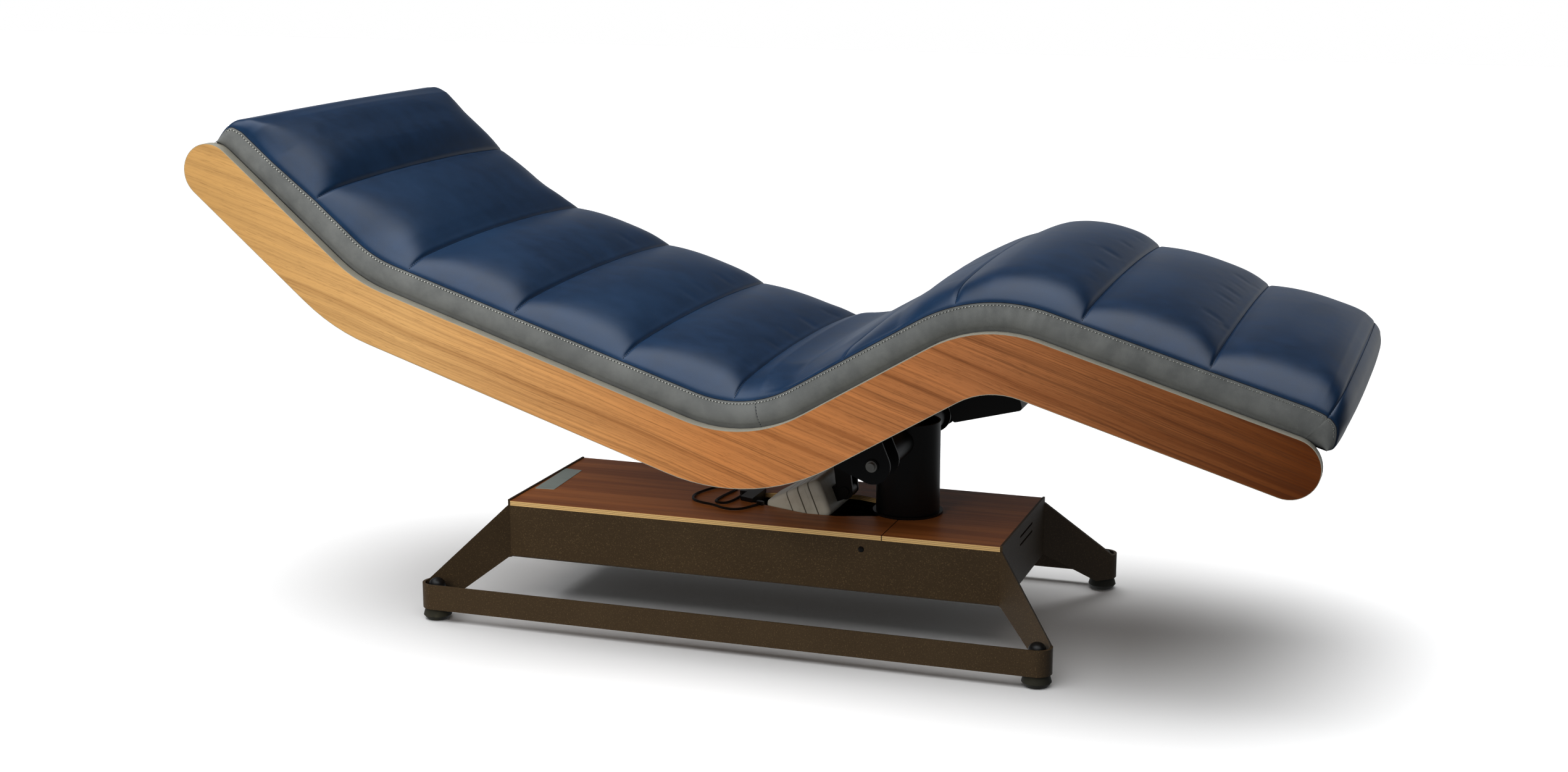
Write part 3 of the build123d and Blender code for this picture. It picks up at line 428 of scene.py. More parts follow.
@dataclass(frozen=True)
class BoardVeneer:
    """Walnut-faced birch plywood: veneer above, light plies on the edges."""

    name: str = "board_veneer"
    face: str = "925227"
    streak: str = "b46d38"
    vein: str = "4a2815"
    ply: str = "dfba7e"
    glue: str = "6a4525"
    gap: str = "140d08"
    top: float = 0.197
    thickness: float = 0.009
    plies: int = 3
    joint: float = 0.217
    wide_scale: Triple = (1.3, 34.0, 20.0)
    fine_scale: Triple = (9.0, 480.0, 300.0)
    speck_scale: Triple = (60.0, 60.0, 900.0)
    wide_noise: Triple = (1.0, 4.0, 0.6)
    fine_noise: Triple = (1.0, 3.0, 0.6)
    wide_span: Span = (0.35, 0.68)
    fine_span: Span = (0.58, 0.72)
    speck_span: Span = (0.6, 0.8)
    glue_span: Span = (0.70, 0.84)
    face_span: Span = (0.0006, 0.0002)
    gap_span: Span = (0.0005, 0.0012)
    vein_share: float = 0.5
    glue_share: float = 0.75
    speck_share: float = 0.25
    roughness: Span = (0.38, 0.14)
    relief: Span = (0.10, 0.0004)

    def material(self) -> bpy.types.Material:
        """Builds the node material.

        Returns:
            The material.
        """
        mix = Recipe(self.name)
        wide = mix.noise(*self.wide_noise, mix.stretched(self.wide_scale))
        fine = mix.noise(*self.fine_noise, mix.stretched(self.fine_scale))
        speck = mix.noise(*self.fine_noise, mix.stretched(self.speck_scale)).ramp(*self.speck_span)
        face = mix.blend(wide.ramp(*self.wide_span), srgb(self.face), srgb(self.streak))
        veined = mix.blend(fine.ramp(*self.fine_span) * self.vein_share, face, srgb(self.vein))
        x, _, z = mix.split(mix.place)
        layer = ((z - (self.top - self.thickness)) * (self.plies / self.thickness)).wrapped()
        lines = layer.ramp(*self.glue_span) * self.glue_share + speck * self.speck_share
        edge = mix.blend(lines, srgb(self.ply), srgb(self.glue))
        facing = z.ramp(*(self.top - depth for depth in self.face_span))
        apart = (x - self.joint).absolute().ramp(*self.gap_span)
        return mix.finish(
            Base_Color=mix.blend(apart, srgb(self.gap), mix.blend(facing, edge, veined)),
            Roughness=fine.line(*self.roughness),
            Normal=mix.bump(fine, *self.relief),
        )


@dataclass(frozen=True)
class Hide:
    """Smooth upholstery leather with a fine pebbled grain."""

    name: str
    colour: str
    shade: str
    bloom: str
    roughness: float = 0.44
    pebble: float = 900.0
    relief: float = 0.22
    gloss: float = 0.38
    softness: float = 0.6
    fine_factor: float = 1.9
    fine_detail: float = 2.0
    mottle_noise: Triple = (26.0, 5.0, 0.65)
    cloud_noise: Triple = (3.2, 3.0, 0.5)
    mottle_span: Span = (0.30, 0.75)
    cloud_span: Span = (0.42, 0.72)
    bloom_share: float = 0.6
    cell_height: float = 0.7
    fine_height: float = 0.3
    mottle_roughness: float = 0.08
    depth: float = 0.0004

    def material(self) -> bpy.types.Material:
        """Builds the node material.

        Returns:
            The material.
        """
        mix = Recipe(self.name)
        values = {"Vector": mix.place, "Scale": self.pebble, "Smoothness": self.softness}
        cells = mix.node("ShaderNodeTexVoronoi", {"feature": "SMOOTH_F1"}, values)
        fine = mix.noise(self.pebble * self.fine_factor, self.fine_detail)
        mottle = mix.noise(*self.mottle_noise)
        cloud = mix.noise(*self.cloud_noise)
        tone = mix.blend(mottle.ramp(*self.mottle_span), srgb(self.shade), srgb(self.colour))
        return mix.finish(
            Base_Color=mix.blend(cloud.ramp(*self.cloud_span) * self.bloom_share, tone, srgb(self.bloom)),
            Roughness=mottle.line(self.roughness, self.mottle_roughness),
            Specular_IOR_Level=self.gloss,
            Normal=mix.bump(cells * self.cell_height + fine * self.fine_height, self.relief, self.depth),
        )


@dataclass(frozen=True)
class Coat:
    """Paint or powder coat on metal."""

    name: str
    colour: str
    fleck: str
    grain: float = 1400.0
    relief: float = 0.35
    roughness: float = 0.55
    gloss: float = 0.35
    texture_noise: Span = (3.0, 0.6)
    broad_noise: Triple = (9.0, 4.0, 0.6)
    fleck_factor: float = 0.35
    fleck_noise: Span = (2.0, 0.5)
    fleck_span: Span = (0.56, 0.70)
    broad_span: Span = (0.4, 0.8)
    fleck_share: float = 0.6
    broad_share: float = 0.08
    broad_roughness: float = 0.04
    depth: float = 0.0005

    def material(self) -> bpy.types.Material:
        """Builds the node material.

        Returns:
            The material.
        """
        mix = Recipe(self.name)
        texture = mix.noise(self.grain, *self.texture_noise)
        broad = mix.noise(*self.broad_noise)
        flecks = mix.noise(self.grain * self.fleck_factor, *self.fleck_noise).ramp(*self.fleck_span)
        amount = flecks * self.fleck_share + broad.ramp(*self.broad_span) * self.broad_share
        return mix.finish(
            Base_Color=mix.blend(amount, srgb(self.colour), srgb(self.fleck)),
            Roughness=broad.line(self.roughness, self.broad_roughness),
            Specular_IOR_Level=self.gloss,
            Normal=mix.bump(texture, self.relief, self.depth),
        )


@dataclass(frozen=True)
class Moulding:
    """Moulded plastic or rubber with a faint spark-eroded texture."""

    name: str
    colour: str
    worn: str
    roughness: float = 0.45
    grain: float = 1100.0
    relief: float = 0.08
    texture_detail: float = 2.0
    dust_noise: Triple = (22.0, 5.0, 0.65)
    dust_span: Span = (0.50, 0.78)
    dust_share: float = 0.6
    dust_roughness: float = 0.12
    depth: float = 0.0003

    def material(self) -> bpy.types.Material:
        """Builds the node material.

        Returns:
            The material.
        """
        mix = Recipe(self.name)
        texture = mix.noise(self.grain, self.texture_detail)
        dust = mix.noise(*self.dust_noise)
        amount = dust.ramp(*self.dust_span) * self.dust_share
        return mix.finish(
            Base_Color=mix.blend(amount, srgb(self.colour), srgb(self.worn)),
            Roughness=dust.line(self.roughness, self.dust_roughness),
            Normal=mix.bump(texture, self.relief, self.depth),
        )


@dataclass(frozen=True)
class Bright:
    """Bare, plated or polished metal with fine turning marks."""

    name: str
    colour: str
    roughness: float = 0.28
    brush: Triple = (600.0, 60.0, 600.0)
    mark_noise: Triple = (1.0, 3.0, 0.6)
    stain_noise: Span = (30.0, 4.0)
    stain_span: Span = (0.45, 0.8)
    stain_share: float = 0.6
    dullness: float = 0.7
    mark_roughness: float = 0.15
    relief: Span = (0.08, 0.0002)

    def material(self) -> bpy.types.Material:
        """Builds the node material.

        Returns:
            The material.
        """
        mix = Recipe(self.name)
        marks = mix.noise(*self.mark_noise, mix.stretched(self.brush))
        stain = mix.noise(*self.stain_noise)
        dull = tuple(part * self.dullness for part in srgb(self.colour))
        return mix.finish(
            Base_Color=mix.blend(stain.ramp(*self.stain_span) * self.stain_share, srgb(self.colour), dull),
            Roughness=marks.line(self.roughness, self.mark_roughness),
            Metallic=1.0,
            Normal=mix.bump(marks, *self.relief),
        )


@dataclass(frozen=True)
class CastHousing:
    """Pale moulded motor housing with fine joint lines square to the actuator."""

    name: str = "housing_grey"
    colour: str = "c9c6ba"
    soiled: str = "a8a496"
    line: str = "57534a"
    pin: Span = (0.104, 0.228)
    slope: float = 22.0
    joints: tuple[float, ...] = (0.044, 0.0655, 0.092)
    line_span: Span = (0.0007, 0.00154)
    dust_noise: Triple = (24.0, 5.0, 0.65)
    texture_noise: Span = (900.0, 2.0)
    dust_span: Span = (0.45, 0.75)
    dust_share: float = 0.6
    texture_height: float = 0.08
    roughness: Span = (0.42, 0.12)
    relief: Span = (0.5, 0.0010)

    def material(self) -> bpy.types.Material:
        """Builds the node material.

        Returns:
            The material.
        """
        mix = Recipe(self.name)
        x, _, z = mix.split(mix.place)
        angle = math.radians(self.slope)
        run = (self.pin[0] - x) * math.cos(angle) + (self.pin[1] - z) * math.sin(angle)
        solid = (run - self.joints[0]).absolute()
        for joint in self.joints[1:]:
            solid = solid.least((run - joint).absolute())
        clear = solid.ramp(*self.line_span)
        dust = mix.noise(*self.dust_noise)
        texture = mix.noise(*self.texture_noise)
        tone = mix.blend(dust.ramp(*self.dust_span) * self.dust_share, srgb(self.colour), srgb(self.soiled))
        return mix.finish(
            Base_Color=mix.blend(clear, srgb(self.line), tone),
            Roughness=dust.line(*self.roughness),
            Normal=mix.bump(clear + texture * self.texture_height, *self.relief),
        )


class Finishes:
    """Every material of the object, built once."""

    def __init__(self) -> None:
        """Builds the materials."""
        self.veneer = Veneer().material()
        self.board = BoardVeneer().material()
        self.navy = Hide("navy_leather", "122b48", "0e243d", "183453", roughness=0.30, gloss=0.34).material()
        self.border = Hide(
            "border_leather", "6a6d6d", "5b5e5f", "777a7a",
            roughness=0.55, pebble=700.0, relief=0.45, gloss=0.2,
        ).material()
        # Dark cloth for the underside, also used as painted shade along the top strip of each border.
        self.lining_and_seam_shade = Moulding("pad_lining", "1c1c1e", "29292b", 0.8, 1800.0, 0.3).material()
        self.powder = Coat("brown_powder_coat", "3f3222", "66543b").material()
        self.black = Coat(
            "satin_black", "060607", "12100f",
            grain=900.0, relief=0.10, roughness=0.40, gloss=0.42,
        ).material()
        self.ply = Moulding("bare_plywood", "c49a63", "a87b45", 0.6, 600.0, 0.15).material()
        self.band = Moulding("edge_band_grey", "9a978b", "888579", 0.42).material()
        self.plastic = Moulding("black_moulding", "0a0a0b", "1a1a1a", 0.36).material()
        self.rubber = Moulding("foot_rubber", "2a2921", "4a4738", 0.62, 700.0, 0.2).material()
        self.jacket = Moulding("cable_jacket", "0a0a09", "1b1915", 0.42).material()
        self.housing = CastHousing().material()
        self.nylon = Moulding("bush_nylon", "cfccc0", "a9a69b", 0.5).material()
        self.steel = Bright("bright_steel", "b9b6b0").material()
        self.chrome = Bright("rod_chrome", "d9dadc", 0.12).material()
        self.plate = Moulding("rating_plate", "9fadac", "8b9997", 0.38, 500.0, 0.05).material()
        self.thread = Moulding("pale_thread", "c9cbc6", "a8aaa5", 0.6, 3000.0, 0.4).material()
        self.dark_thread = Hide(
            "navy_thread", "0d1828", "0a1320", "101e32",
            roughness=0.6, pebble=3000.0, relief=0.3, gloss=0.1,
        ).material()
        # Dark marks in the needle piercings by the border seams: painted shade.
        self.hole_shade = Moulding("needle_hole", "1c1d1d", "141515", 0.8, 3000.0, 0.1).material()


# Geometry shared by the lounger's pieces


@dataclass
class WaveLine:
    """Centre line of the side panels, from the head end to the foot end, in metres."""

    valley: Span = (0.0499, 0.3418)
    slopes: tuple[float, ...] = (-40.74, -18.29, 30.58, -16.98)
    lengths: tuple[float, ...] = (0.3396, 0.778, 0.4592, 0.4996)
    radii: tuple[float, ...] = (0.310, 0.297, 0.176)
    step: float = 0.00025
    spare: float = 0.12
    length: float = field(init=False)
    table: np.ndarray = field(init=False)

    def __post_init__(self) -> None:
        """Works out the table of distance, X, Z and slope."""
        knots, bends = [0.0], [math.radians(self.slopes[0])]
        position, used = 0.0, 0.0
        for index, radius in enumerate(self.radii):
            turn = math.radians(abs(self.slopes[index + 1] - self.slopes[index]))
            cut = radius * math.tan(turn / 2)
            position += self.lengths[index] - used - cut
            knots += [position, position + radius * turn]
            bends += [math.radians(self.slopes[index]), math.radians(self.slopes[index + 1])]
            position += radius * turn
            used = cut
        self.length = position + self.lengths[-1] - used
        knots.append(self.length)
        bends.append(math.radians(self.slopes[-1]))
        steps = np.arange(-self.spare, self.length + self.spare, self.step)
        slope = np.interp(steps, knots, bends)
        middle = np.interp(steps + self.step / 2, knots, bends)
        x = np.concatenate(([0.0], np.cumsum(np.cos(middle[:-1]) * self.step)))
        z = np.concatenate(([0.0], np.cumsum(np.sin(middle[:-1]) * self.step)))
        head_x, head_z = self._head()
        x += head_x - np.interp(0.0, steps, x)
        z += head_z - np.interp(0.0, steps, z)
        self.table = np.stack([steps, x, z, slope])

    def _head(self) -> Span:
        """Place of the line's head end, worked out backwards from its valley.

        Returns:
            X and Z in metres.
        """
        x, z = self.valley
        for length, slope in ((self.lengths[1], self.slopes[1]), (self.lengths[0], self.slopes[0])):
            x -= length * math.cos(math.radians(slope))
            z -= length * math.sin(math.radians(slope))
        return x, z

    def place(self, distance: np.ndarray, level: np.ndarray) -> Row:
        """Place of points that are given along the line and above it.

        Args:
            distance: Distances along the line.
            level: Levels above it.

        Returns:
            X and Z of the points.
        """
        steps, x, z, slope = self.table
        angle = np.interp(distance, steps, slope)
        px = np.interp(distance, steps, x) - level * np.sin(angle)
        pz = np.interp(distance, steps, z) + level * np.cos(angle)
        return px, pz


def smoothed(values: np.ndarray, width: int) -> np.ndarray:
    """Runs a bell-shaped average over evenly spaced values, keeping both ends.

    Args:
        values: The values.
        width: How many steps wide the bell is.

    Returns:
        As many averaged values.
    """
    reach = 3 * width
    weights = np.exp(-0.5 * (np.arange(-reach, reach + 1) / width) ** 2)
    before = 2 * values[0] - values[reach:0:-1]
    after = 2 * values[-1] - values[-2 : -reach - 2 : -1]
    return np.convolve(np.concatenate((before, values, after)), weights / weights.sum(), mode="valid")


def bell(offset: np.ndarray, width: float) -> np.ndarray:
    """A bell curve of height 1 over offsets from its middle."""
    return np.exp(-((offset / width) ** 2))


def share(values: np.ndarray, low: float | np.ndarray, high: float | np.ndarray) -> np.ndarray:
    """How far values lie on the way from low to high, kept between 0 and 1."""
    return np.clip((values - low) / (high - low), 0.0, 1.0)


def waves(t: np.ndarray, pitch: float, wander: float, rate: float) -> np.ndarray:
    """Uneven waves between 0 and 1, whose pitch wanders with a strength and a rate."""
    return 0.5 + 0.5 * np.sin(2 * np.pi * t / pitch + wander * np.sin(t * rate))


def grid_faces(rows: int, width: int, start: int = 0, turned: bool = False) -> list[tuple[int, ...]]:
    """Four-sided faces over a grid of points.

    Args:
        rows: How many rows of points there are.
        width: How many points are in a row.
        start: The number of the first point.
        turned: Whether the faces look the other way.

    Returns:
        The point numbers of each face.
    """
    corners = [start + i * width + j for i in range(rows - 1) for j in range(width - 1)]
    faces = [(a, a + width, a + width + 1, a + 1) for a in corners]
    return [face[::-1] for face in faces] if turned else faces


def placed(name: str, data: bpy.types.ID) -> bpy.types.Object:
    """Makes an object of a mesh, curve, camera or light and links it to the scene.

    Args:
        name: Its name.
        data: What it shows.

    Returns:
        The object.
    """
    made = bpy.data.objects.new(name, data)
    bpy.context.collection.objects.link(made)
    return made


def new_piece(
    name: str, points: np.ndarray, faces: Sequence[tuple[int, ...]], edges: Sequence[tuple[int, int]] = ()
) -> bpy.types.Object:
    """Makes a mesh object from points, faces and loose edges and links it to the scene.

    Args:
        name: Its name.
        points: Its points.
        faces: The point numbers of each face.
        edges: Those of each edge that has no face.

    Returns:
        The object.
    """
    mesh = bpy.data.meshes.new(name)
    mesh.from_pydata([tuple(map(float, point)) for point in points], edges, faces)
    mesh.update()
    return placed(name, mesh)


@dataclass(frozen=True)
class Seam:
    """Points of the border seam in the upright plane.

    t is the distance along the seam, s the distance along the wave line, x and z the place, and nx and nz
    the direction square to the seam.
    """

    t: np.ndarray
    s: np.ndarray
    x: np.ndarray
    z: np.ndarray
    nx: np.ndarray
    nz: np.ndarray

    @property
    def total(self) -> float:
        """The seam's length."""
        return float(self.t[-1])

    def at(self, t: float | np.ndarray) -> "Seam":
        """The seam's points at distances along it."""
        tracks = (self.s, self.x, self.z, self.nx, self.nz)
        return Seam(t, *(np.interp(t, self.t, track) for track in tracks))

    def distance(self, s: float) -> float:
        """Distance along the seam of a place on the wave line."""
        return float(np.interp(s, self.s, self.t))

    def raised(self, y: np.ndarray, height: float | np.ndarray) -> np.ndarray:
        """Points across the width at a height above the seam."""
        return np.stack(np.broadcast_arrays(self.x + self.nx * height, y, self.z + self.nz * height), axis=-1)


# The cushion


@dataclass
class Cushion:
    """The channelled cushion: a navy top, a grey border on each side and a dark cloth below, whose dark
    material also covers the top strip of each border as a painted shade line along the seam.
    """

    wave: WaveLine
    finishes: Finishes

    # Width, and levels above the wave line
    half_width: float = 0.3675
    underside: float = 0.0413
    seam_level: float = 0.097

    # Sewn channels by their distance along the wave line, and how full the top is in and between them
    channels: tuple[float, ...] = (0.178, 0.427, 0.634, 0.843, 1.083, 1.341, 1.526, 1.676, 1.886)
    fullness_in: tuple[float, ...] = (0.0, 0.0, 0.0, 0.0, 0.0, 0.08, 0.45, 0.0, 0.0)
    peaks: tuple[float, ...] = (0.84, 1.08, 0.86, 0.80, 0.96, 0.30, 0.75, 0.95, 0.98, 1.02)
    summit: float = 0.55
    head_rising_bend: float = 3.0
    rising_bend: float = 2.2
    falling_bend: float = 3.5

    # Height of the top across the width
    crown: float = 0.0145
    crease_crown: float = 0.0180
    crown_bend: float = 2.2
    roll: float = 0.064
    roll_rise: float = 0.0335
    roll_bends: Span = (2.3, 0.74)
    crease_rise: float = 0.0150
    puff_roll: float = 0.115
    puff_bend: float = 2.4
    head_roll: float = 0.024
    head_reach: float = 0.13
    head_bend: float = 1.5
    head_drop: float = 0.001
    head_flattening: float = 0.45
    valley_span: tuple[float, ...] = (1.15, 1.24, 1.44, 1.56)
    valley_share: float = 0.42

    # Both ends, with outlines as distances from the wave line's ends and levels above it
    foot_reach: float = 0.054
    end_places_in: tuple[float, ...] = (0.0, 0.030, 0.060, 0.085)
    end_fullness: tuple[float, ...] = (0.05, 0.26, 0.80, 1.0)
    head_outline: tuple[Span, ...] = (
        (-0.029, 0.0413), (-0.0295, 0.063), (-0.0285, 0.075),
        (-0.022, 0.086), (-0.002, 0.092), (0.075, 0.092),
    )
    foot_outline: tuple[Span, ...] = (
        (-0.004, 0.098), (0.020, 0.096), (0.034, 0.092), (0.0445, 0.084),
        (0.0500, 0.070), (0.0520, 0.054), (0.0500, 0.0455), (0.0420, 0.0413),
    )
    sample: float = 0.0005
    rounding: int = 7

    # Channel stitches and seams
    stitch_dip: float = 0.0024
    stitch_width: float = 0.0026
    stitch_fade: float = 0.012
    groove: float = 0.0016
    groove_width: float = 0.0016
    end_seams: Span = (0.036, 0.069)
    end_seam_width: float = 0.0015
    border_seam: float = 1.138
    border_seam_depth: float = 0.0016
    border_seam_width: float = 0.0014

    # Borders: their swelling, the tuck below it, uneven waves and the gathers over the knee
    bottom_straight: Span = (0.06, 0.03)
    belly: float = 0.0062
    belly_bends: Span = (1.25, 0.8)
    draw_in: float = 0.0080
    free_share: float = 0.74
    ripple: float = 0.0012
    ripple_waves: Triple = (0.061, 2.4, 7.3)
    pucker: float = 0.0022
    pucker_waves: Triple = (0.0165, 1.6, 41.0)
    pucker_span: tuple[float, ...] = (1.33, 1.39, 1.62, 1.70)
    pucker_decay_shares: Span = (0.30, 0.05)

    # Spacing of the mesh
    depth_shares: tuple[float, ...] = (
        0.0, 0.022, 0.05, 0.09, 0.14, 0.2, 0.27, 0.35, 0.44, 0.53, 0.61, 0.67, 0.71, 0.735, 0.75, 0.80, 1.0,
    )
    channel_gaps: tuple[float, ...] = (0.0, 0.0012, 0.0028, 0.005, 0.008, 0.012, 0.017, 0.023, 0.030)
    seam_gaps: tuple[float, ...] = (0.0, 0.0007, 0.0014, 0.0025)
    channel_clear: float = 0.036
    column_step: float = 0.0042
    end_step: float = 0.003
    edge_rows: tuple[float, ...] = (
        0.0, 0.0012, 0.0025, 0.0042, 0.0065, 0.0095, 0.013, 0.017, 0.022, 0.028, 0.035, 0.043, 0.052,
    )
    inner_edge: float = 0.062
    inner_rows: int = 32
    under_rows: int = 9
    merge: float = 0.00005
    sliver: float = 0.00002

    def border_depth(self, t: np.ndarray, s: np.ndarray, depths: np.ndarray) -> np.ndarray:
        """How far the border lies inside the cushion's width, with its joint and its gathers.

        Args:
            t: Distances along the seam line.
            s: Distances along the wave line.
            depths: Shares of the way down the border.

        Returns:
            A grid of depths, one row for each distance.
        """
        gathered = np.interp(s, self.pucker_span, (0.0, 1.0, 1.0, 0.0))
        gathers = self.pucker * gathered * waves(t, *self.pucker_waves)
        far, near = self.pucker_decay_shares
        decay = np.exp(-depths / far) * (1 - np.exp(-depths / near))
        joint = self.border_seam_depth * bell(s - self.border_seam, self.border_seam_width)
        ease = self.ripple * waves(t, *self.ripple_waves)
        free = share(depths, 0.0, self.free_share)
        first, second = self.belly_bends
        rounded = -self.belly * np.sin(np.pi * free**first) ** second
        tucked = self.draw_in * share(depths, self.free_share, 1.0)
        hollow = (joint + ease)[:, None] * np.sin(np.pi * free)[None, :]
        return (rounded + tucked)[None, :] + hollow + gathers[:, None] * decay[None, :]

    def seam_line(self) -> Seam:
        """The whole border seam, evenly sampled.

        Returns:
            The seam, from the head end's underside round the top to the foot end's.
        """
        outline = [*self.head_outline]
        outline += [(channel, self.seam_level) for channel in (self.channels[0], self.channels[-1])]
        outline += [(self.wave.length + reach, level) for reach, level in self.foot_outline]
        dense_s, dense_level = [], []
        for (s0, l0), (s1, l1) in zip(outline, outline[1:]):
            count = max(2, int(max(abs(s1 - s0), abs(l1 - l0)) / self.sample))
            dense_s.append(np.linspace(s0, s1, count, endpoint=False))
            dense_level.append(np.linspace(l0, l1, count, endpoint=False))
        s = np.concatenate([*dense_s, [outline[-1][0]]])
        level = np.concatenate([*dense_level, [outline[-1][1]]])
        x, z = self.wave.place(s, level)
        run = np.concatenate(([0.0], np.cumsum(np.hypot(np.diff(x), np.diff(z)))))
        t = np.arange(0.0, run[-1], self.sample)
        x, z, s = (smoothed(np.interp(t, run, values), self.rounding) for values in (x, z, s))
        dx, dz = np.gradient(x), np.gradient(z)
        size = np.hypot(dx, dz)
        return Seam(t, s, x, z, -dz / size, dx / size)

    def bottom_edge(self, t: np.ndarray, line: Seam) -> Row:
        """Place of the bottom edge's points, which stay straight below those of the seam.

        Args:
            t: Distances along the seam line.
            line: The seam line.

        Returns:
            X and Z of the points.
        """
        first, last = self.head_outline[0][0], self.wave.length + self.foot_outline[-1][0]
        low, high = self.bottom_straight[0], self.wave.length - self.bottom_straight[1]
        t_low, t_high = line.distance(low), line.distance(high)
        run = line.at(t).s
        run = np.where(t < t_low, first + (low - first) * t / t_low, run)
        run = np.where(t > t_high, high + (last - high) * (t - t_high) / (t[-1] - t_high), run)
        return self.wave.place(run, np.full_like(run, self.underside))

    def end_places(self, line: Seam) -> Span:
        """Distances along the seam line of the fine seams across the head end and the foot end."""
        return self.end_seams[0], line.total - self.end_seams[1]

    def channel_places(self, line: Seam) -> list[float]:
        """Distances along the seam line of the sewn channels."""
        return [line.distance(channel) for channel in self.channels]

    def fullness(self, s: np.ndarray) -> np.ndarray:
        """How far the top stands up from its sewn channels.

        Args:
            s: Distances along the wave line.

        Returns:
            Shares of the full height, least in a channel.
        """
        marks = [self.head_outline[0][0], *self.channels, self.wave.length + self.foot_reach]
        floors = [0.0, *self.fullness_in, 0.0]
        result = np.zeros_like(s)
        for index, (start, end) in enumerate(zip(marks, marks[1:])):
            u = share(s, start, end)
            bend = self.rising_bend if index else self.head_rising_bend
            rising = 1 - share(self.summit - u, 0.0, self.summit) ** bend
            falling = 1 - share(u, self.summit, 1.0) ** self.falling_bend
            floor = np.where(u < self.summit, floors[index], floors[index + 1])
            height = floor + (self.peaks[index] - floor) * np.minimum(rising, falling)
            result = np.where((s >= start) & (s <= end), height, result)
        return result

    def stitched(self, s: np.ndarray) -> np.ndarray:
        """How deep the sewn line of each channel pulls the top down at distances along the wave line."""
        dips = [bell(s - channel, self.stitch_width) for channel in self.channels]
        return self.stitch_dip * np.sum(dips, axis=0)

    def columns(self, line: Seam) -> np.ndarray:
        """Places for the mesh's columns, closer together by the channels and seams.

        Args:
            line: The seam line.

        Returns:
            Distances along the seam line.
        """
        marks = self.channel_places(line)
        seams = (line.distance(self.border_seam), *self.end_places(line))
        places = {0.0, line.total}
        for group, gaps in ((marks, self.channel_gaps), (seams, self.seam_gaps)):
            places.update(place + side.value * gap for place in group for gap in gaps for side in Side)
        edges = [0.0, *marks, line.total]
        for start, end in zip(edges, edges[1:]):
            low = start + (self.channel_clear if start > 0 else 0.0)
            high = end - (self.channel_clear if end < line.total else 0.0)
            step = self.end_step if start == 0 or end == line.total else self.column_step
            places.update(np.linspace(low, high, int((high - low) / step)))
        return np.array(sorted(places))

    def rows(self) -> np.ndarray:
        """Places for the mesh's rows, closer together by the seams.

        Returns:
            Places across the width.
        """
        inner = np.linspace(self.inner_edge, self.half_width, self.inner_rows)[:-1]
        half = np.concatenate((self.edge_rows, inner))
        return np.concatenate((-self.half_width + half, [0.0], self.half_width - half[::-1]))

    def top_height(self, s: np.ndarray, y: np.ndarray, tail: np.ndarray) -> np.ndarray:
        """Height of the top above the seam line.

        Args:
            s: Distances along the wave line.
            y: Places across the width.
            tail: Share of the fullness that is left at each distance.

        Returns:
            A grid of heights, one row for each distance.
        """
        full = self.fullness(s)[:, None]
        head = share(self.head_reach - s, 0.0, self.head_reach)[:, None] ** self.head_bend
        edge = self.half_width - np.abs(y)[None, :]
        across = share(edge, 0.0, self.roll + head * (self.head_roll - self.roll))
        rolled = (1 - (1 - across) ** self.roll_bends[0]) ** self.roll_bends[1]
        puffed = share(edge, 0.0, self.puff_roll + head * (self.head_roll - self.puff_roll))
        eased = 1 - (1 - puffed) ** self.puff_bend
        bowed = (1 - (np.abs(y) / self.half_width) ** self.crown_bend)[None, :]
        flat = np.interp(s, self.valley_span, (1.0, self.valley_share, self.valley_share, 1.0))[:, None]
        flat = flat * tail[:, None]
        swell = full * (self.roll_rise - self.crease_rise) * flat * eased
        rise = self.crease_rise * flat - self.head_drop * head
        crown = self.crease_crown + full * (self.crown - self.crease_crown)
        crown = crown * (1 - self.head_flattening * head) * flat
        pulled = self.stitched(s)[:, None] * share(edge, 0.0, self.stitch_fade)
        return swell + rise * rolled + crown * bowed - self.groove * bell(edge, self.groove_width) - pulled

    def surface(self, t: np.ndarray, y: np.ndarray, line: Seam) -> np.ndarray:
        """Points of the top.

        Args:
            t: Distances along the seam line.
            y: Places across the width.
            line: The seam line.

        Returns:
            An array of points by distance and place.
        """
        tail = np.interp(np.minimum(t, line.total - t), self.end_places_in, self.end_fullness)
        heights = self.top_height(line.at(t).s, y, tail)
        for seam in self.end_places(line):
            heights = heights - self.groove * bell(t - seam, self.end_seam_width)[:, None]
        return line.at(t[:, None]).raised(y, heights)

    def borders(self, top: np.ndarray, t: np.ndarray, line: Seam) -> list[np.ndarray]:
        """Points of the two borders, from the top's rims down to the bottom edge.

        Args:
            top: The top's points.
            t: Distances along the seam line.
            line: The seam line.

        Returns:
            The points of the near and of the far border.
        """
        x, z = self.bottom_edge(t, line)
        depths = np.array(self.depth_shares)
        inward = self.border_depth(t, line.at(t).s, depths)
        grids = []
        for side, row in ((Side.NEAR, 0), (Side.FAR, -1)):
            rim_x, rim_z = top[:, row, 0:1], top[:, row, 2:3]
            down_x = rim_x + (x[:, None] - rim_x) * depths
            down_z = rim_z + (z[:, None] - rim_z) * depths
            grids.append(np.stack([down_x, side.value * (self.half_width - inward), down_z], axis=-1))
        return grids

    def under(self, t: np.ndarray, line: Seam) -> np.ndarray:
        """Points of the underside.

        Args:
            t: Distances along the seam line.
            line: The seam line.

        Returns:
            An array of points by distance and place.
        """
        x, z = self.bottom_edge(t, line)
        y = np.linspace(-self.half_width, self.half_width, self.under_rows)
        return np.stack(np.broadcast_arrays(x[:, None], y, z[:, None]), axis=-1)

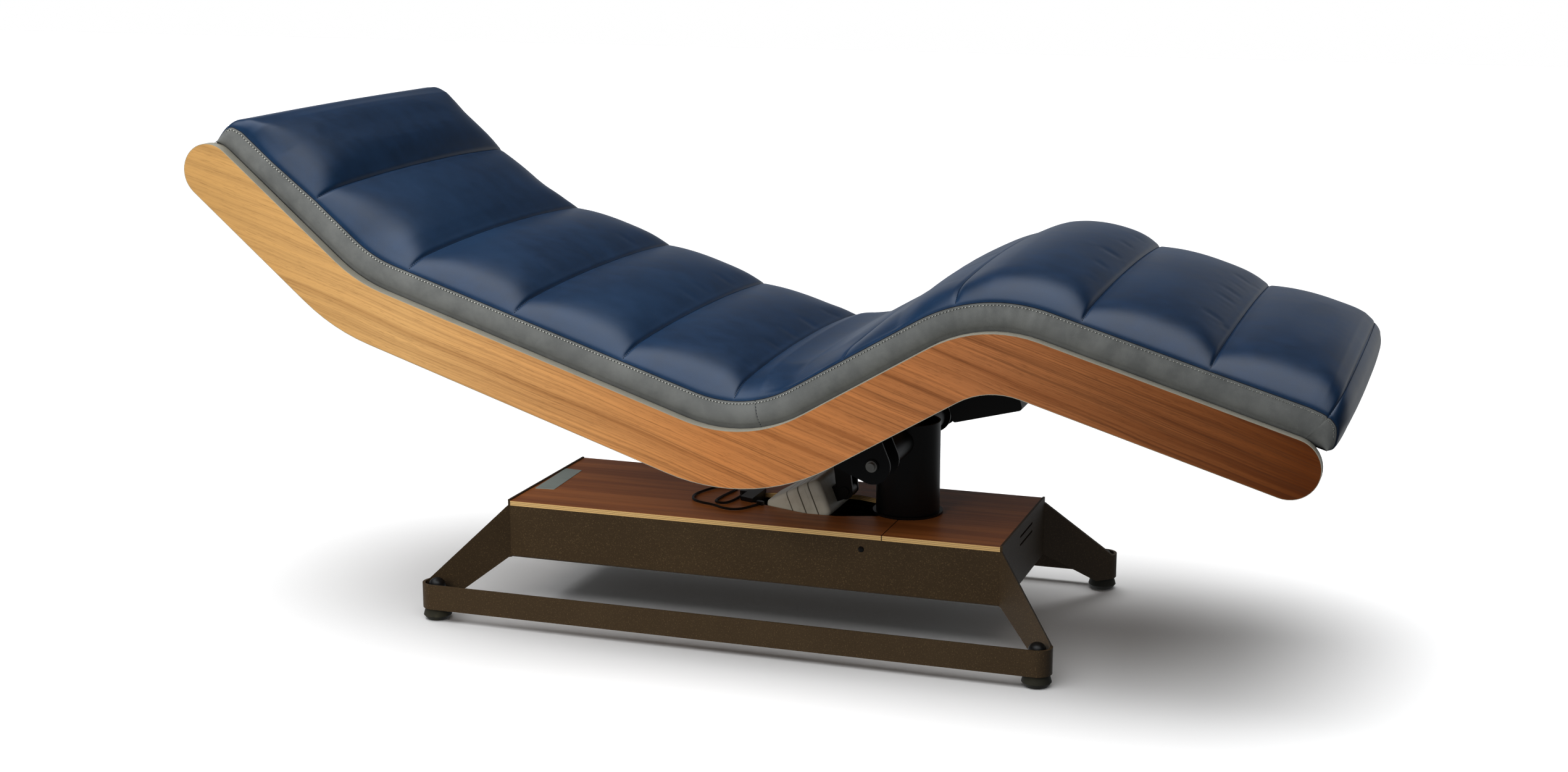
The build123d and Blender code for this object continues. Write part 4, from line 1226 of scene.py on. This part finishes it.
    def build(self) -> bpy.types.Object:
        """Builds the closed mesh of the cushion with its three materials.

        Returns:
            The piece.
        """
        line = self.seam_line()
        t, y = self.columns(line), self.rows()
        top = self.surface(t, y, line)
        top += Drape(self).movement(t, y, line)
        near, far = self.borders(top, t, line)
        # Each border's first strip of faces, about a millimetre deep just under the seam, takes the dark
        # underside material: a painted shade line along the seam.
        sheets = (
            (top, False, Sheet.TOP, Sheet.TOP),
            (near, True, Sheet.LINING, Sheet.BORDER),
            (far, False, Sheet.LINING, Sheet.BORDER),
            (self.under(t, line), True, Sheet.LINING, Sheet.LINING),
        )
        points, faces, slots = [], [], []
        for grid, turned, first, rest in sheets:
            width = grid.shape[1]
            faces += grid_faces(len(t), width, len(points), turned)
            points += list(grid.reshape(-1, 3))
            slots += ([first.value] + [rest.value] * (width - 2)) * (len(t) - 1)
        piece = new_piece("cushion_cover", points, faces)
        mesh = piece.data
        for material in (self.finishes.navy, self.finishes.border, self.finishes.lining_and_seam_shade):
            mesh.materials.append(material)
        mesh.polygons.foreach_set("material_index", slots)
        mesh.polygons.foreach_set("use_smooth", [True] * len(faces))
        self.close(mesh)
        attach(piece, Body.LOUNGER.value)
        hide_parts("cushion")
        LOG.info("cushion_cover: %d faces", len(mesh.polygons))
        return piece

    def close(self, mesh: bpy.types.Mesh) -> None:
        """Merges the rims of the sheets, turns faces outwards and keeps the seams sharp.

        Args:
            mesh: The cushion's mesh.
        """
        work = bmesh.new()
        work.from_mesh(mesh)
        bmesh.ops.remove_doubles(work, verts=work.verts, dist=self.merge)
        bmesh.ops.dissolve_degenerate(work, edges=work.edges, dist=self.sliver)
        bmesh.ops.recalc_face_normals(work, faces=work.faces)
        for edge in work.edges:
            edge.smooth = len({face.material_index for face in edge.link_faces}) < 2
        work.to_mesh(mesh)
        work.free()
        mesh.update()


@dataclass
class Drape:
    """Cloth simulation of the top: a coarse sheet, held at its seams and channels, is blown up a little."""

    cushion: Cushion
    cell: float = 0.013
    frames: int = 20
    steps: int = 6
    mass: float = 0.25
    pressure: float = 4.0
    slack: float = 0.0015
    limit: float = 0.006
    tension: float = 30.0
    compression: float = 20.0
    shear: float = 8.0
    bending: float = 3.0

    def layout(self, line: Seam) -> tuple[np.ndarray, np.ndarray, list[int]]:
        """Lays out the coarse sheet.

        Args:
            line: The seam line.

        Returns:
            Columns, rows and the numbers of the columns that are sewn down.
        """
        edges = [0.0, *self.cushion.channel_places(line), line.total]
        columns, held = [], []
        for start, end in zip(edges, edges[1:]):
            held.append(len(columns))
            columns += list(np.linspace(start, end, int((end - start) / self.cell) + 1, endpoint=False))
        columns.append(edges[-1])
        held.append(len(columns) - 1)
        half = self.cushion.half_width
        return np.array(columns), np.linspace(-half, half, int(2 * half / self.cell)), held

    def blown(self, start: np.ndarray, held: list[int]) -> np.ndarray:
        """Simulates a sheet.

        Args:
            start: Its points by column and row.
            held: The columns that are sewn down.

        Returns:
            How far each point moves.
        """
        n_col, n_row = start.shape[:2]
        sheet = new_piece("drape_sheet", start.reshape(-1, 3), grid_faces(n_col, n_row))
        pins = sheet.vertex_groups.new(name="pins")
        fixed = {i * n_row + j for i in held for j in range(n_row)}
        fixed |= {i * n_row + j for i in range(n_col) for j in (0, n_row - 1)}
        pins.add(sorted(fixed), 1.0, "REPLACE")
        cloth = sheet.modifiers.new("drape", "CLOTH")
        hide = cloth.settings
        hide.quality, hide.mass = self.steps, self.mass
        hide.tension_stiffness, hide.compression_stiffness = self.tension, self.compression
        hide.shear_stiffness, hide.bending_stiffness = self.shear, self.bending
        hide.vertex_group_mass = pins.name
        hide.use_pressure, hide.uniform_pressure_force = True, self.pressure
        hide.shrink_min = -self.slack
        hide.effector_weights.gravity = 0.0
        cloth.collision_settings.use_collision = False
        cloth.point_cache.frame_start, cloth.point_cache.frame_end = 1, self.frames
        for frame in range(1, self.frames + 1):
            bpy.context.scene.frame_set(frame)
        seen = sheet.evaluated_get(bpy.context.evaluated_depsgraph_get())
        flat = np.empty(start.size, dtype=np.float32)
        seen.data.vertices.foreach_get("co", flat)
        sheet.modifiers.clear()
        bpy.data.objects.remove(sheet)
        bpy.context.scene.frame_set(1)
        return flat.reshape(start.shape).astype(float) - start

    def movement(self, t: np.ndarray, y: np.ndarray, line: Seam) -> np.ndarray:
        """Carries the simulation over to the fine mesh.

        Args:
            t: Columns of the fine mesh.
            y: Rows of the fine mesh.
            line: The seam line.

        Returns:
            How far each point of the fine mesh moves.
        """
        columns, rows, held = self.layout(line)
        moved = self.blown(self.cushion.surface(columns, rows, line), held)
        reach = np.linalg.norm(moved, axis=-1, keepdims=True)
        moved *= np.minimum(1.0, self.limit / np.maximum(reach, 1e-9))
        LOG.info("drape: largest %.4f m, mean %.4f m", float(reach.max()), float(reach.mean()))
        axes = range(3)
        across = [[np.interp(y, rows, column[:, axis]) for axis in axes] for column in moved]
        across = np.array(across).transpose(0, 2, 1)
        fine = [[np.interp(t, columns, across[:, row, axis]) for axis in axes] for row in range(len(y))]
        return np.array(fine).transpose(2, 0, 1)


class StitchTree(Graph):
    """A Geometry Nodes tree that sews short threads along the edges of a mesh."""

    SIZES = ("Pitch", "Thread Length", "Thread Width", "Unevenness")
    BALL_RADIUS = 0.5
    FACETS = 1
    SMALLEST = (0.9, 0.85, 0.85)
    LARGEST = (1.1, 1.15, 1.15)

    def __init__(self, name: str, material: bpy.types.Material) -> None:
        """Builds the tree.

        Args:
            name: The tree's name.
            material: The finish of the thread.
        """
        super().__init__(bpy.data.node_groups.new(name, "GeometryNodeTree"))
        self.tree.is_modifier = True
        ports = self.tree.interface
        ports.new_socket("Path", in_out="INPUT", socket_type="NodeSocketGeometry")
        for label in self.SIZES:
            ports.new_socket(label, in_out="INPUT", socket_type="NodeSocketFloat")
        ports.new_socket("Seed", in_out="INPUT", socket_type="NodeSocketInt")
        ports.new_socket("Threads", in_out="OUTPUT", socket_type="NodeSocketGeometry")
        self._wire(material)

    def _wire(self, material: bpy.types.Material) -> None:
        """Joins path, spacing, one thread and its direction into the finished seam.

        Args:
            material: The finish of the thread.
        """
        given = self.tree.nodes.new("NodeGroupInput").outputs
        labels = ("Path", *self.SIZES, "Seed")
        path, pitch, length, width, unevenness, seed = (Port(self, given[label]) for label in labels)
        curve = self.node("GeometryNodeMeshToCurve", values={"Mesh": path})
        spaced = self.node("GeometryNodeResampleCurve", {"mode": "LENGTH"}, {"Curve": curve, "Length": pitch})
        round_form = {"Radius": self.BALL_RADIUS, "Subdivisions": self.FACETS}
        ball = self.node("GeometryNodeMeshIcoSphere", values=round_form)
        size = self.node("ShaderNodeCombineXYZ", values={"X": length, "Y": width, "Z": width})
        thread = self.node("GeometryNodeTransform", values={"Geometry": ball, "Scale": size})
        tangent = self.node("GeometryNodeInputTangent")
        vector = {"data_type": "FLOAT_VECTOR"}
        facing = self.node("GeometryNodeInputNamedAttribute", vector, {"Name": "facing"})
        ahead = self.node("FunctionNodeAlignRotationToVector", {"axis": "X"}, {"Vector": tangent})
        upright = self.node(
            "FunctionNodeAlignRotationToVector",
            {"axis": "Z", "pivot_axis": "X"},
            {"Rotation": ahead, "Vector": facing},
        )
        limits = {"Min": self.SMALLEST, "Max": self.LARGEST, "Seed": seed}
        chance = self.node("FunctionNodeRandomValue", vector, limits)
        sizes = {0: unevenness, 4: (1.0, 1.0, 1.0), 5: chance}
        stretch = self.node("ShaderNodeMix", {"data_type": "VECTOR"}, sizes, out=1)
        sewn = self.node(
            "GeometryNodeInstanceOnPoints",
            values={"Points": spaced, "Instance": thread, "Rotation": upright, "Scale": stretch},
        )
        real = self.node("GeometryNodeRealizeInstances", values={"Geometry": sewn})
        smooth = self.node("GeometryNodeSetShadeSmooth", values={"Geometry": real})
        dyed = self.node("GeometryNodeSetMaterial", values={"Geometry": smooth, "Material": material})
        self.close("NodeGroupOutput", dyed)

    def sew(self, name: str, rows: list[Row], **sizes: float) -> bpy.types.Object:
        """Sews threads along rows and returns them as one plain mesh.

        Args:
            name: The new piece's name.
            rows: For each row its points and the directions that the thread faces.
            sizes: Values of the tree's inputs, with underscores for spaces.

        Returns:
            The piece.
        """
        edges, start = [], 0
        for points, _ in rows:
            edges += [(start + i, start + i + 1) for i in range(len(points) - 1)]
            start += len(points)
        guide = new_piece(name + "_guide", np.concatenate([points for points, _ in rows]), [], edges)
        stored = guide.data.attributes.new("facing", "FLOAT_VECTOR", "POINT")
        facing = np.concatenate([directions for _, directions in rows])
        stored.data.foreach_set("vector", facing.astype(np.float32).ravel())
        modifier = guide.modifiers.new("stitches", "NODES")
        modifier.node_group = self.tree
        for item in self.tree.interface.items_tree:
            key = item.name.replace(" ", "_")
            if key in sizes:
                modifier[item.identifier] = sizes[key]
        bpy.context.view_layer.update()
        seen = guide.evaluated_get(bpy.context.evaluated_depsgraph_get())
        result = bpy.data.meshes.new_from_object(seen)
        guide.modifiers.clear()
        bpy.data.objects.remove(guide)
        LOG.info("%s: %d faces", name, len(result.polygons))
        return placed(name, result)


@dataclass
class Stitching:
    """All threads on the cushion: by each border seam, down each channel and joint, across each end."""

    cushion: Cushion
    finishes: Finishes

    # Stitches below the border seams, with dark marks between them that paint the shade in the needle
    # piercings
    drop: float = 0.0062
    border_height: float = 0.056
    seam_end: float = 0.004
    seam_step: float = 0.002
    pitch: float = 0.0058
    thread: float = 0.0040
    width: float = 0.0014
    border_lift: float = 0.0003
    hole_shade: float = 0.0022
    hole_width_share: float = 0.8
    hole_unevenness: float = 0.5

    # Stitches on the top and on the borders' joints
    top_lift: float = 0.0004
    top_margin: float = 0.004
    top_points: int = 240
    joint_height: float = 0.0557
    joint_shares: Span = (0.05, 0.95)
    joint_points: int = 24
    channel_pitch: float = 0.0052
    channel_thread: float = 0.0040
    channel_width: float = 0.0010

    def border_rows(self, seam: Seam, inward: np.ndarray, drop: float | np.ndarray) -> list[Row]:
        """The same row on both borders.

        Args:
            seam: The row's places along the seam.
            inward: How far the border lies inside the width there.
            drop: How far the row lies below the seam.

        Returns:
            A row for each border.
        """
        rows = []
        for side in Side:
            y = side.value * (self.cushion.half_width - inward + self.border_lift)
            points = seam.raised(y, -drop)
            rows.append((points, np.tile((0.0, float(side.value), 0.0), (len(points), 1))))
        return rows

    def seam_rows(self, shift: float) -> list[Row]:
        """The rows below both border seams.

        Args:
            shift: How far they are moved along the seam.

        Returns:
            A row for each border.
        """
        line = self.cushion.seam_line()
        end = self.drop + self.seam_end
        t = np.arange(end + shift, line.total - end, self.seam_step)
        seam = line.at(t)
        inward = self.cushion.border_depth(t, seam.s, np.array([self.drop / self.border_height]))[:, 0]
        return self.border_rows(seam, inward, self.drop)

    def joint_rows(self, line: Seam) -> list[Row]:
        """One upright row on the joint of each border.

        Args:
            line: The seam line.

        Returns:
            A row for each border.
        """
        seam = line.at(np.array([line.distance(self.cushion.border_seam)]))
        shares = np.linspace(*self.joint_shares, self.joint_points)
        inward = self.cushion.border_depth(seam.t, seam.s, shares)[0]
        return self.border_rows(seam, inward, shares * self.joint_height)

    def top_rows(self) -> list[Row]:
        """One row in each channel, one across each end and one on each border's joint.

        Returns:
            The rows.
        """
        line = self.cushion.seam_line()
        reach = self.cushion.half_width - self.top_margin
        y = np.linspace(-reach, reach, self.top_points)
        rows = []
        for t in (*self.cushion.channel_places(line), *self.cushion.end_places(line)):
            seam = line.at(t)
            facing = np.tile((seam.nx, 0.0, seam.nz), (len(y), 1))
            rows.append((self.cushion.surface(np.array([t]), y, line)[0] + facing * self.top_lift, facing))
        return rows + self.joint_rows(line)

    def build(self) -> None:
        """Sews every row."""
        pale = StitchTree("border_seam_threads", self.finishes.thread)
        dark = StitchTree("channel_threads", self.finishes.dark_thread)
        # The dark marks between the stitches paint the shade in the needle piercings.
        hole_shades = StitchTree("needle_holes", self.finishes.hole_shade)
        made = [
            pale.sew(
                "border_stitches", self.seam_rows(0.0), Pitch=self.pitch, Unevenness=1.0, Seed=3,
                Thread_Length=self.thread, Thread_Width=self.width,
            ),
            hole_shades.sew(
                "border_needle_holes", self.seam_rows(self.pitch / 2), Pitch=self.pitch, Seed=5,
                Unevenness=self.hole_unevenness, Thread_Length=self.hole_shade,
                Thread_Width=self.hole_shade * self.hole_width_share,
            ),
            dark.sew(
                "channel_stitches", self.top_rows(), Pitch=self.channel_pitch, Unevenness=1.0, Seed=7,
                Thread_Length=self.channel_thread, Thread_Width=self.channel_width,
            ),
        ]
        for piece in made:
            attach(piece, Body.LOUNGER.value)


# The stage


@dataclass(frozen=True)
class SquareLamp:
    """A square soft lamp: its place, the point it faces, its edge, its power in watts and its colour."""

    name: str
    place: Triple
    aim: Triple
    size: float
    power: float
    tint: Triple = (1.0, 1.0, 1.0)


@dataclass(frozen=True)
class SunLamp:
    """A wide light from above: its way, its strength, its spread in degrees and what it lights."""

    name: str
    way: Triple
    energy: float
    spread: float
    floor_only: bool = False


@dataclass(frozen=True)
class Studio:
    """Camera, floor and lights."""

    lens: float = 51.33
    sensor: float = 36.0
    sight: float = 60.0
    eye: Triple = (1.2579, -3.7421, 1.2848)
    yaw: float = -18.829
    pitch: float = 12.475
    floor_reach: float = 14.0
    floor_grey: float = 0.93
    floor_roughness: float = 0.9
    sky: Triple = (0.94, 0.97, 1.0)
    ambient: float = 0.22
    wall_ramp: tuple[float, ...] = (0.05, 0.32, 0.50, 0.03)
    scrim_ramp: tuple[float, ...] = (0.64, 0.94, 0.0, 2.9)
    back_way: Triple = (-0.7, 1.0, 0.0)
    back_ramp: tuple[float, ...] = (0.2, 0.75, 0.22, 1.0)
    lamps: tuple[SquareLamp, ...] = (
        SquareLamp("key", (-0.70, -2.5, 1.30), (-0.35, -0.3, 0.5), 1.2, 46.0, (1.0, 0.95, 0.87)),
        SquareLamp("wing", (-2.0, -1.5, 2.5), (-0.2, -0.3, 0.6), 1.8, 38.0),
    )
    suns: tuple[SunLamp, ...] = (
        SunLamp("overhead", (0.10, -0.16, -0.98), 1.3, 58.0),
        SunLamp("floor_wash", (0.06, 0.12, -0.99), 2.9, 84.0, floor_only=True),
    )
    ground: bpy.types.Collection = field(default_factory=lambda: bpy.data.collections.new("floor_only"))
    lit: bpy.types.Collection = field(default_factory=lambda: bpy.data.collections.new("all_but_floor"))

    @staticmethod
    def aim(seat: bpy.types.Object, way: Vector) -> None:
        """Turns a camera or light to look along a direction."""
        seat.rotation_euler = way.to_track_quat("-Z", "Y").to_euler()

    def camera(self) -> None:
        """Sets the camera at the photograph's place and angle."""
        data = bpy.data.cameras.new("camera")
        data.lens, data.sensor_width, data.clip_end = self.lens, self.sensor, self.sight
        seat = placed("camera", data)
        seat.location = self.eye
        yaw, pitch = math.radians(self.yaw), math.radians(self.pitch)
        level = math.cos(pitch)
        self.aim(seat, Vector((math.sin(yaw) * level, math.cos(yaw) * level, -math.sin(pitch))))
        bpy.context.scene.camera = seat

    def floor(self) -> None:
        """Lays a plain pale floor."""
        reach = self.floor_reach
        corners = [(-reach, -reach, 0.0), (reach, -reach, 0.0), (reach, reach, 0.0), (-reach, reach, 0.0)]
        piece = new_piece("floor", corners, [(0, 1, 2, 3)])
        paint = Recipe("pale_floor").finish(Base_Color=(self.floor_grey,) * 3, Roughness=self.floor_roughness)
        piece.data.materials.append(paint)
        piece.visible_diffuse = False
        piece.visible_glossy = False
        self.ground.objects.link(piece)
        self.lit.objects.link(piece)
        self.lit.collection_objects[0].light_linking.link_state = "EXCLUDE"

    def hang(self, name: str, kind: str, way: Vector, energy: float) -> bpy.types.Object:
        """Adds a light that no surface mirrors.

        Args:
            name: Its name.
            kind: Its type.
            way: The direction in which it shines.
            energy: Its strength.

        Returns:
            The light.
        """
        data = bpy.data.lights.new(name, kind)
        data.energy = energy
        light = placed(name, data)
        light.visible_glossy = False
        self.aim(light, way)
        return light

    def light(self) -> None:
        """Hangs the lamps above the lounger."""
        for lamp in self.lamps:
            light = self.hang(lamp.name, "AREA", Vector(lamp.aim) - Vector(lamp.place), lamp.power)
            light.data.size, light.data.color = lamp.size, lamp.tint
            light.location = lamp.place
            light.visible_camera = False
            light.light_linking.receiver_collection = self.lit
        for sun in self.suns:
            light = self.hang(sun.name, "SUN", Vector(sun.way), sun.energy)
            light.data.angle = math.radians(sun.spread)
            if sun.floor_only:
                light.light_linking.receiver_collection = self.ground

    def world(self) -> None:
        """Gives the camera a white ground, surfaces a soft ambient light and gloss pale walls to mirror."""
        world = bpy.data.worlds.new("studio")
        bpy.context.scene.world = world
        world.use_nodes = True
        room = Graph(world.node_tree)
        ambient = room.node("ShaderNodeBackground", values={0: self.sky, 1: self.ambient})
        way = room.node("ShaderNodeTexCoord", out="Generated")
        _, _, up = room.split(way)
        behind = room.vectors("DOT_PRODUCT", way, self.back_way, out="Value").ramp(*self.back_ramp, even=True)
        walls = up.ramp(*self.wall_ramp, even=True) * behind + up.ramp(*self.scrim_ramp, even=True)
        mirrored = room.node("ShaderNodeBackground", values={0: self.sky, 1: walls})
        white = room.node("ShaderNodeBackground", values={0: (1.0, 1.0, 1.0)})
        glossy = room.node("ShaderNodeLightPath", out="Is Glossy Ray")
        seen = room.node("ShaderNodeLightPath", out="Is Camera Ray")
        around = room.node("ShaderNodeMixShader", values={0: glossy, 1: ambient, 2: mirrored})
        total = room.node("ShaderNodeMixShader", values={0: seen, 1: around, 2: white})
        room.close("ShaderNodeOutputWorld", total)
        bpy.context.scene.view_settings.view_transform = "Standard"

    def build(self) -> None:
        """Builds the floor, the world and the lamps."""
        self.floor()
        self.world()
        self.light()


# The object


@dataclass
class SupplyCable:
    """The thin black cable that lies in two loops on the long board."""

    finishes: Finishes
    radius: float = 0.00225
    level: float = 0.19955
    length: float = 0.511
    section: int = 4
    smoothness: int = 12
    route: tuple[Span, ...] = (
        (-0.0488, -0.0502), (-0.0617, -0.0859), (-0.080, -0.101), (-0.103, -0.097), (-0.126, -0.081),
        (-0.150, -0.075), (-0.173, -0.062), (-0.184, -0.032), (-0.178, 0.0), (-0.167, 0.028), (-0.152, 0.052),
        (-0.126, 0.052), (-0.122, 0.026), (-0.128, -0.005), (-0.132, -0.035), (-0.131, -0.065),
        (-0.099, -0.065), (-0.099, 0.006),
    )

    def build(self) -> None:
        """Builds the cable as one smooth curve with a round section."""
        data = bpy.data.curves.new("supply_cable_jacket", "CURVE")
        data.dimensions = "3D"
        data.bevel_depth = self.radius
        data.bevel_resolution = self.section
        data.resolution_u = self.smoothness
        data.use_fill_caps = True
        spline = data.splines.new("NURBS")
        spline.points.add(len(self.route) - 1)
        for point, (x, y) in zip(spline.points, self.route):
            point.co = (x, y, self.level, 1.0)
        spline.order_u = 3
        spline.use_endpoint_u = True
        piece = placed("supply_cable_jacket", data)
        data.materials.append(self.finishes.jacket)
        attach(piece, Body.BASE.value)
        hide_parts("supply_cable")
        LOG.info("supply_cable_jacket: %d points", len(self.route))


@dataclass
class RatingPlate:
    """A bare metal plate near the head end of the long board."""

    finishes: Finishes
    corners: tuple[Span, ...] = ((-0.484, -0.075), (-0.446, -0.071), (-0.454, 0.075), (-0.4895, 0.078))
    level: float = 0.197
    thickness: float = 0.0006
    radius: float = 0.003
    arc_shares: tuple[float, ...] = (0.0, 0.33, 0.67, 1.0)

    def outline(self) -> list[Vector]:
        """Points round the plate, with rounded corners.

        Returns:
            The points.
        """
        ring = []
        for index, corner in enumerate(self.corners):
            here = Vector(corner)
            back = (Vector(self.corners[index - 1]) - here).normalized()
            ahead = (Vector(self.corners[(index + 1) % len(self.corners)]) - here).normalized()
            for part in self.arc_shares:
                angle = part * math.pi / 2
                inward = (1 - math.sin(angle)) * back + (1 - math.cos(angle)) * ahead
                ring.append(here + self.radius * inward)
        return ring

    def build(self) -> None:
        """Builds the plate."""
        ring = self.outline()
        size = len(ring)
        levels = (self.level, self.level + self.thickness)
        points = [(point.x, point.y, level) for level in levels for point in ring]
        faces = [tuple(range(size, 2 * size)), tuple(reversed(range(size)))]
        faces += [(i, (i + 1) % size, size + (i + 1) % size, size + i) for i in range(size)]
        piece = new_piece("bare_plate", points, faces)
        piece.data.materials.append(self.finishes.plate)
        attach(piece, Body.BASE.value)
        LOG.info("bare_plate: %d faces", len(faces))


class Steelwork:
    """Gives the rigid CAD nodes their finishes."""

    CROSS_TUBES = 5
    FEET = 4

    def __init__(self, finishes: Finishes) -> None:
        """Says which node takes which finish.

        Args:
            finishes: Every material of the object.
        """
        feet = range(1, self.FEET + 1)
        self.plan = {
            finishes.powder: [
                "base_tray", "head_end_plate", "foot_end_plate", "near_strap", "far_strap", "corner_bosses",
            ],
            finishes.black: [
                "column", "column_ring", "bearing_tube", "actuator_lugs", "actuator_clevis",
                "actuator_bracket", "actuator_tube", "near_rail", "far_rail", "panel_cleats",
                "box_hangers", "upper_pin", "pivot_washers",
                *(f"{side}_{place}_bracket" for side in ("near", "far") for place in ("inner", "outer")),
                *(f"cross_tube_{number}" for number in range(1, self.CROSS_TUBES + 1)),
            ],
            finishes.steel: [
                "pivot_shaft", "pivot_retainers", "lower_pin", "panel_screws",
                *(f"foot_stem_{foot}" for foot in feet),
            ],
            finishes.plastic: ["side_plug", "boss_caps", "cable_outlet", "cable_clip", "control_box"],
            finishes.rubber: [f"foot_pad_{foot}" for foot in feet],
            finishes.board: ["long_board", "short_board"],
            finishes.veneer: ["near_side_panel", "far_side_panel"],
            finishes.band: ["near_edge_band", "far_edge_band"],
            finishes.ply: ["seat_shell"],
            finishes.housing: ["housing_cover", "housing_body"],
            finishes.nylon: ["pivot_bushes"],
            finishes.chrome: ["actuator_rod"],
        }

    def dress(self, frame: dict) -> None:
        """Assigns each finish to its nodes.
        """
        for material, nodes in self.plan.items():
            for node in nodes:
                for slot in frame["nodes"][node].material_slots:
                    slot.material = material
            LOG.info("%s: %d pieces", material.name, len(nodes))


def main() -> None:
    """Builds every piece in order."""
    logging.basicConfig(level=logging.INFO)
    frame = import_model()
    studio = Studio()
    studio.camera()
    finishes = Finishes()
    SupplyCable(finishes).build()
    wave = WaveLine()
    LOG.info("wave line %.4f m", wave.length)
    cushion = Cushion(wave, finishes)
    cushion.build()
    Stitching(cushion, finishes).build()
    RatingPlate(finishes).build()
    Steelwork(finishes).dress(frame)
    studio.build()


if __name__ == "__main__":
    main()
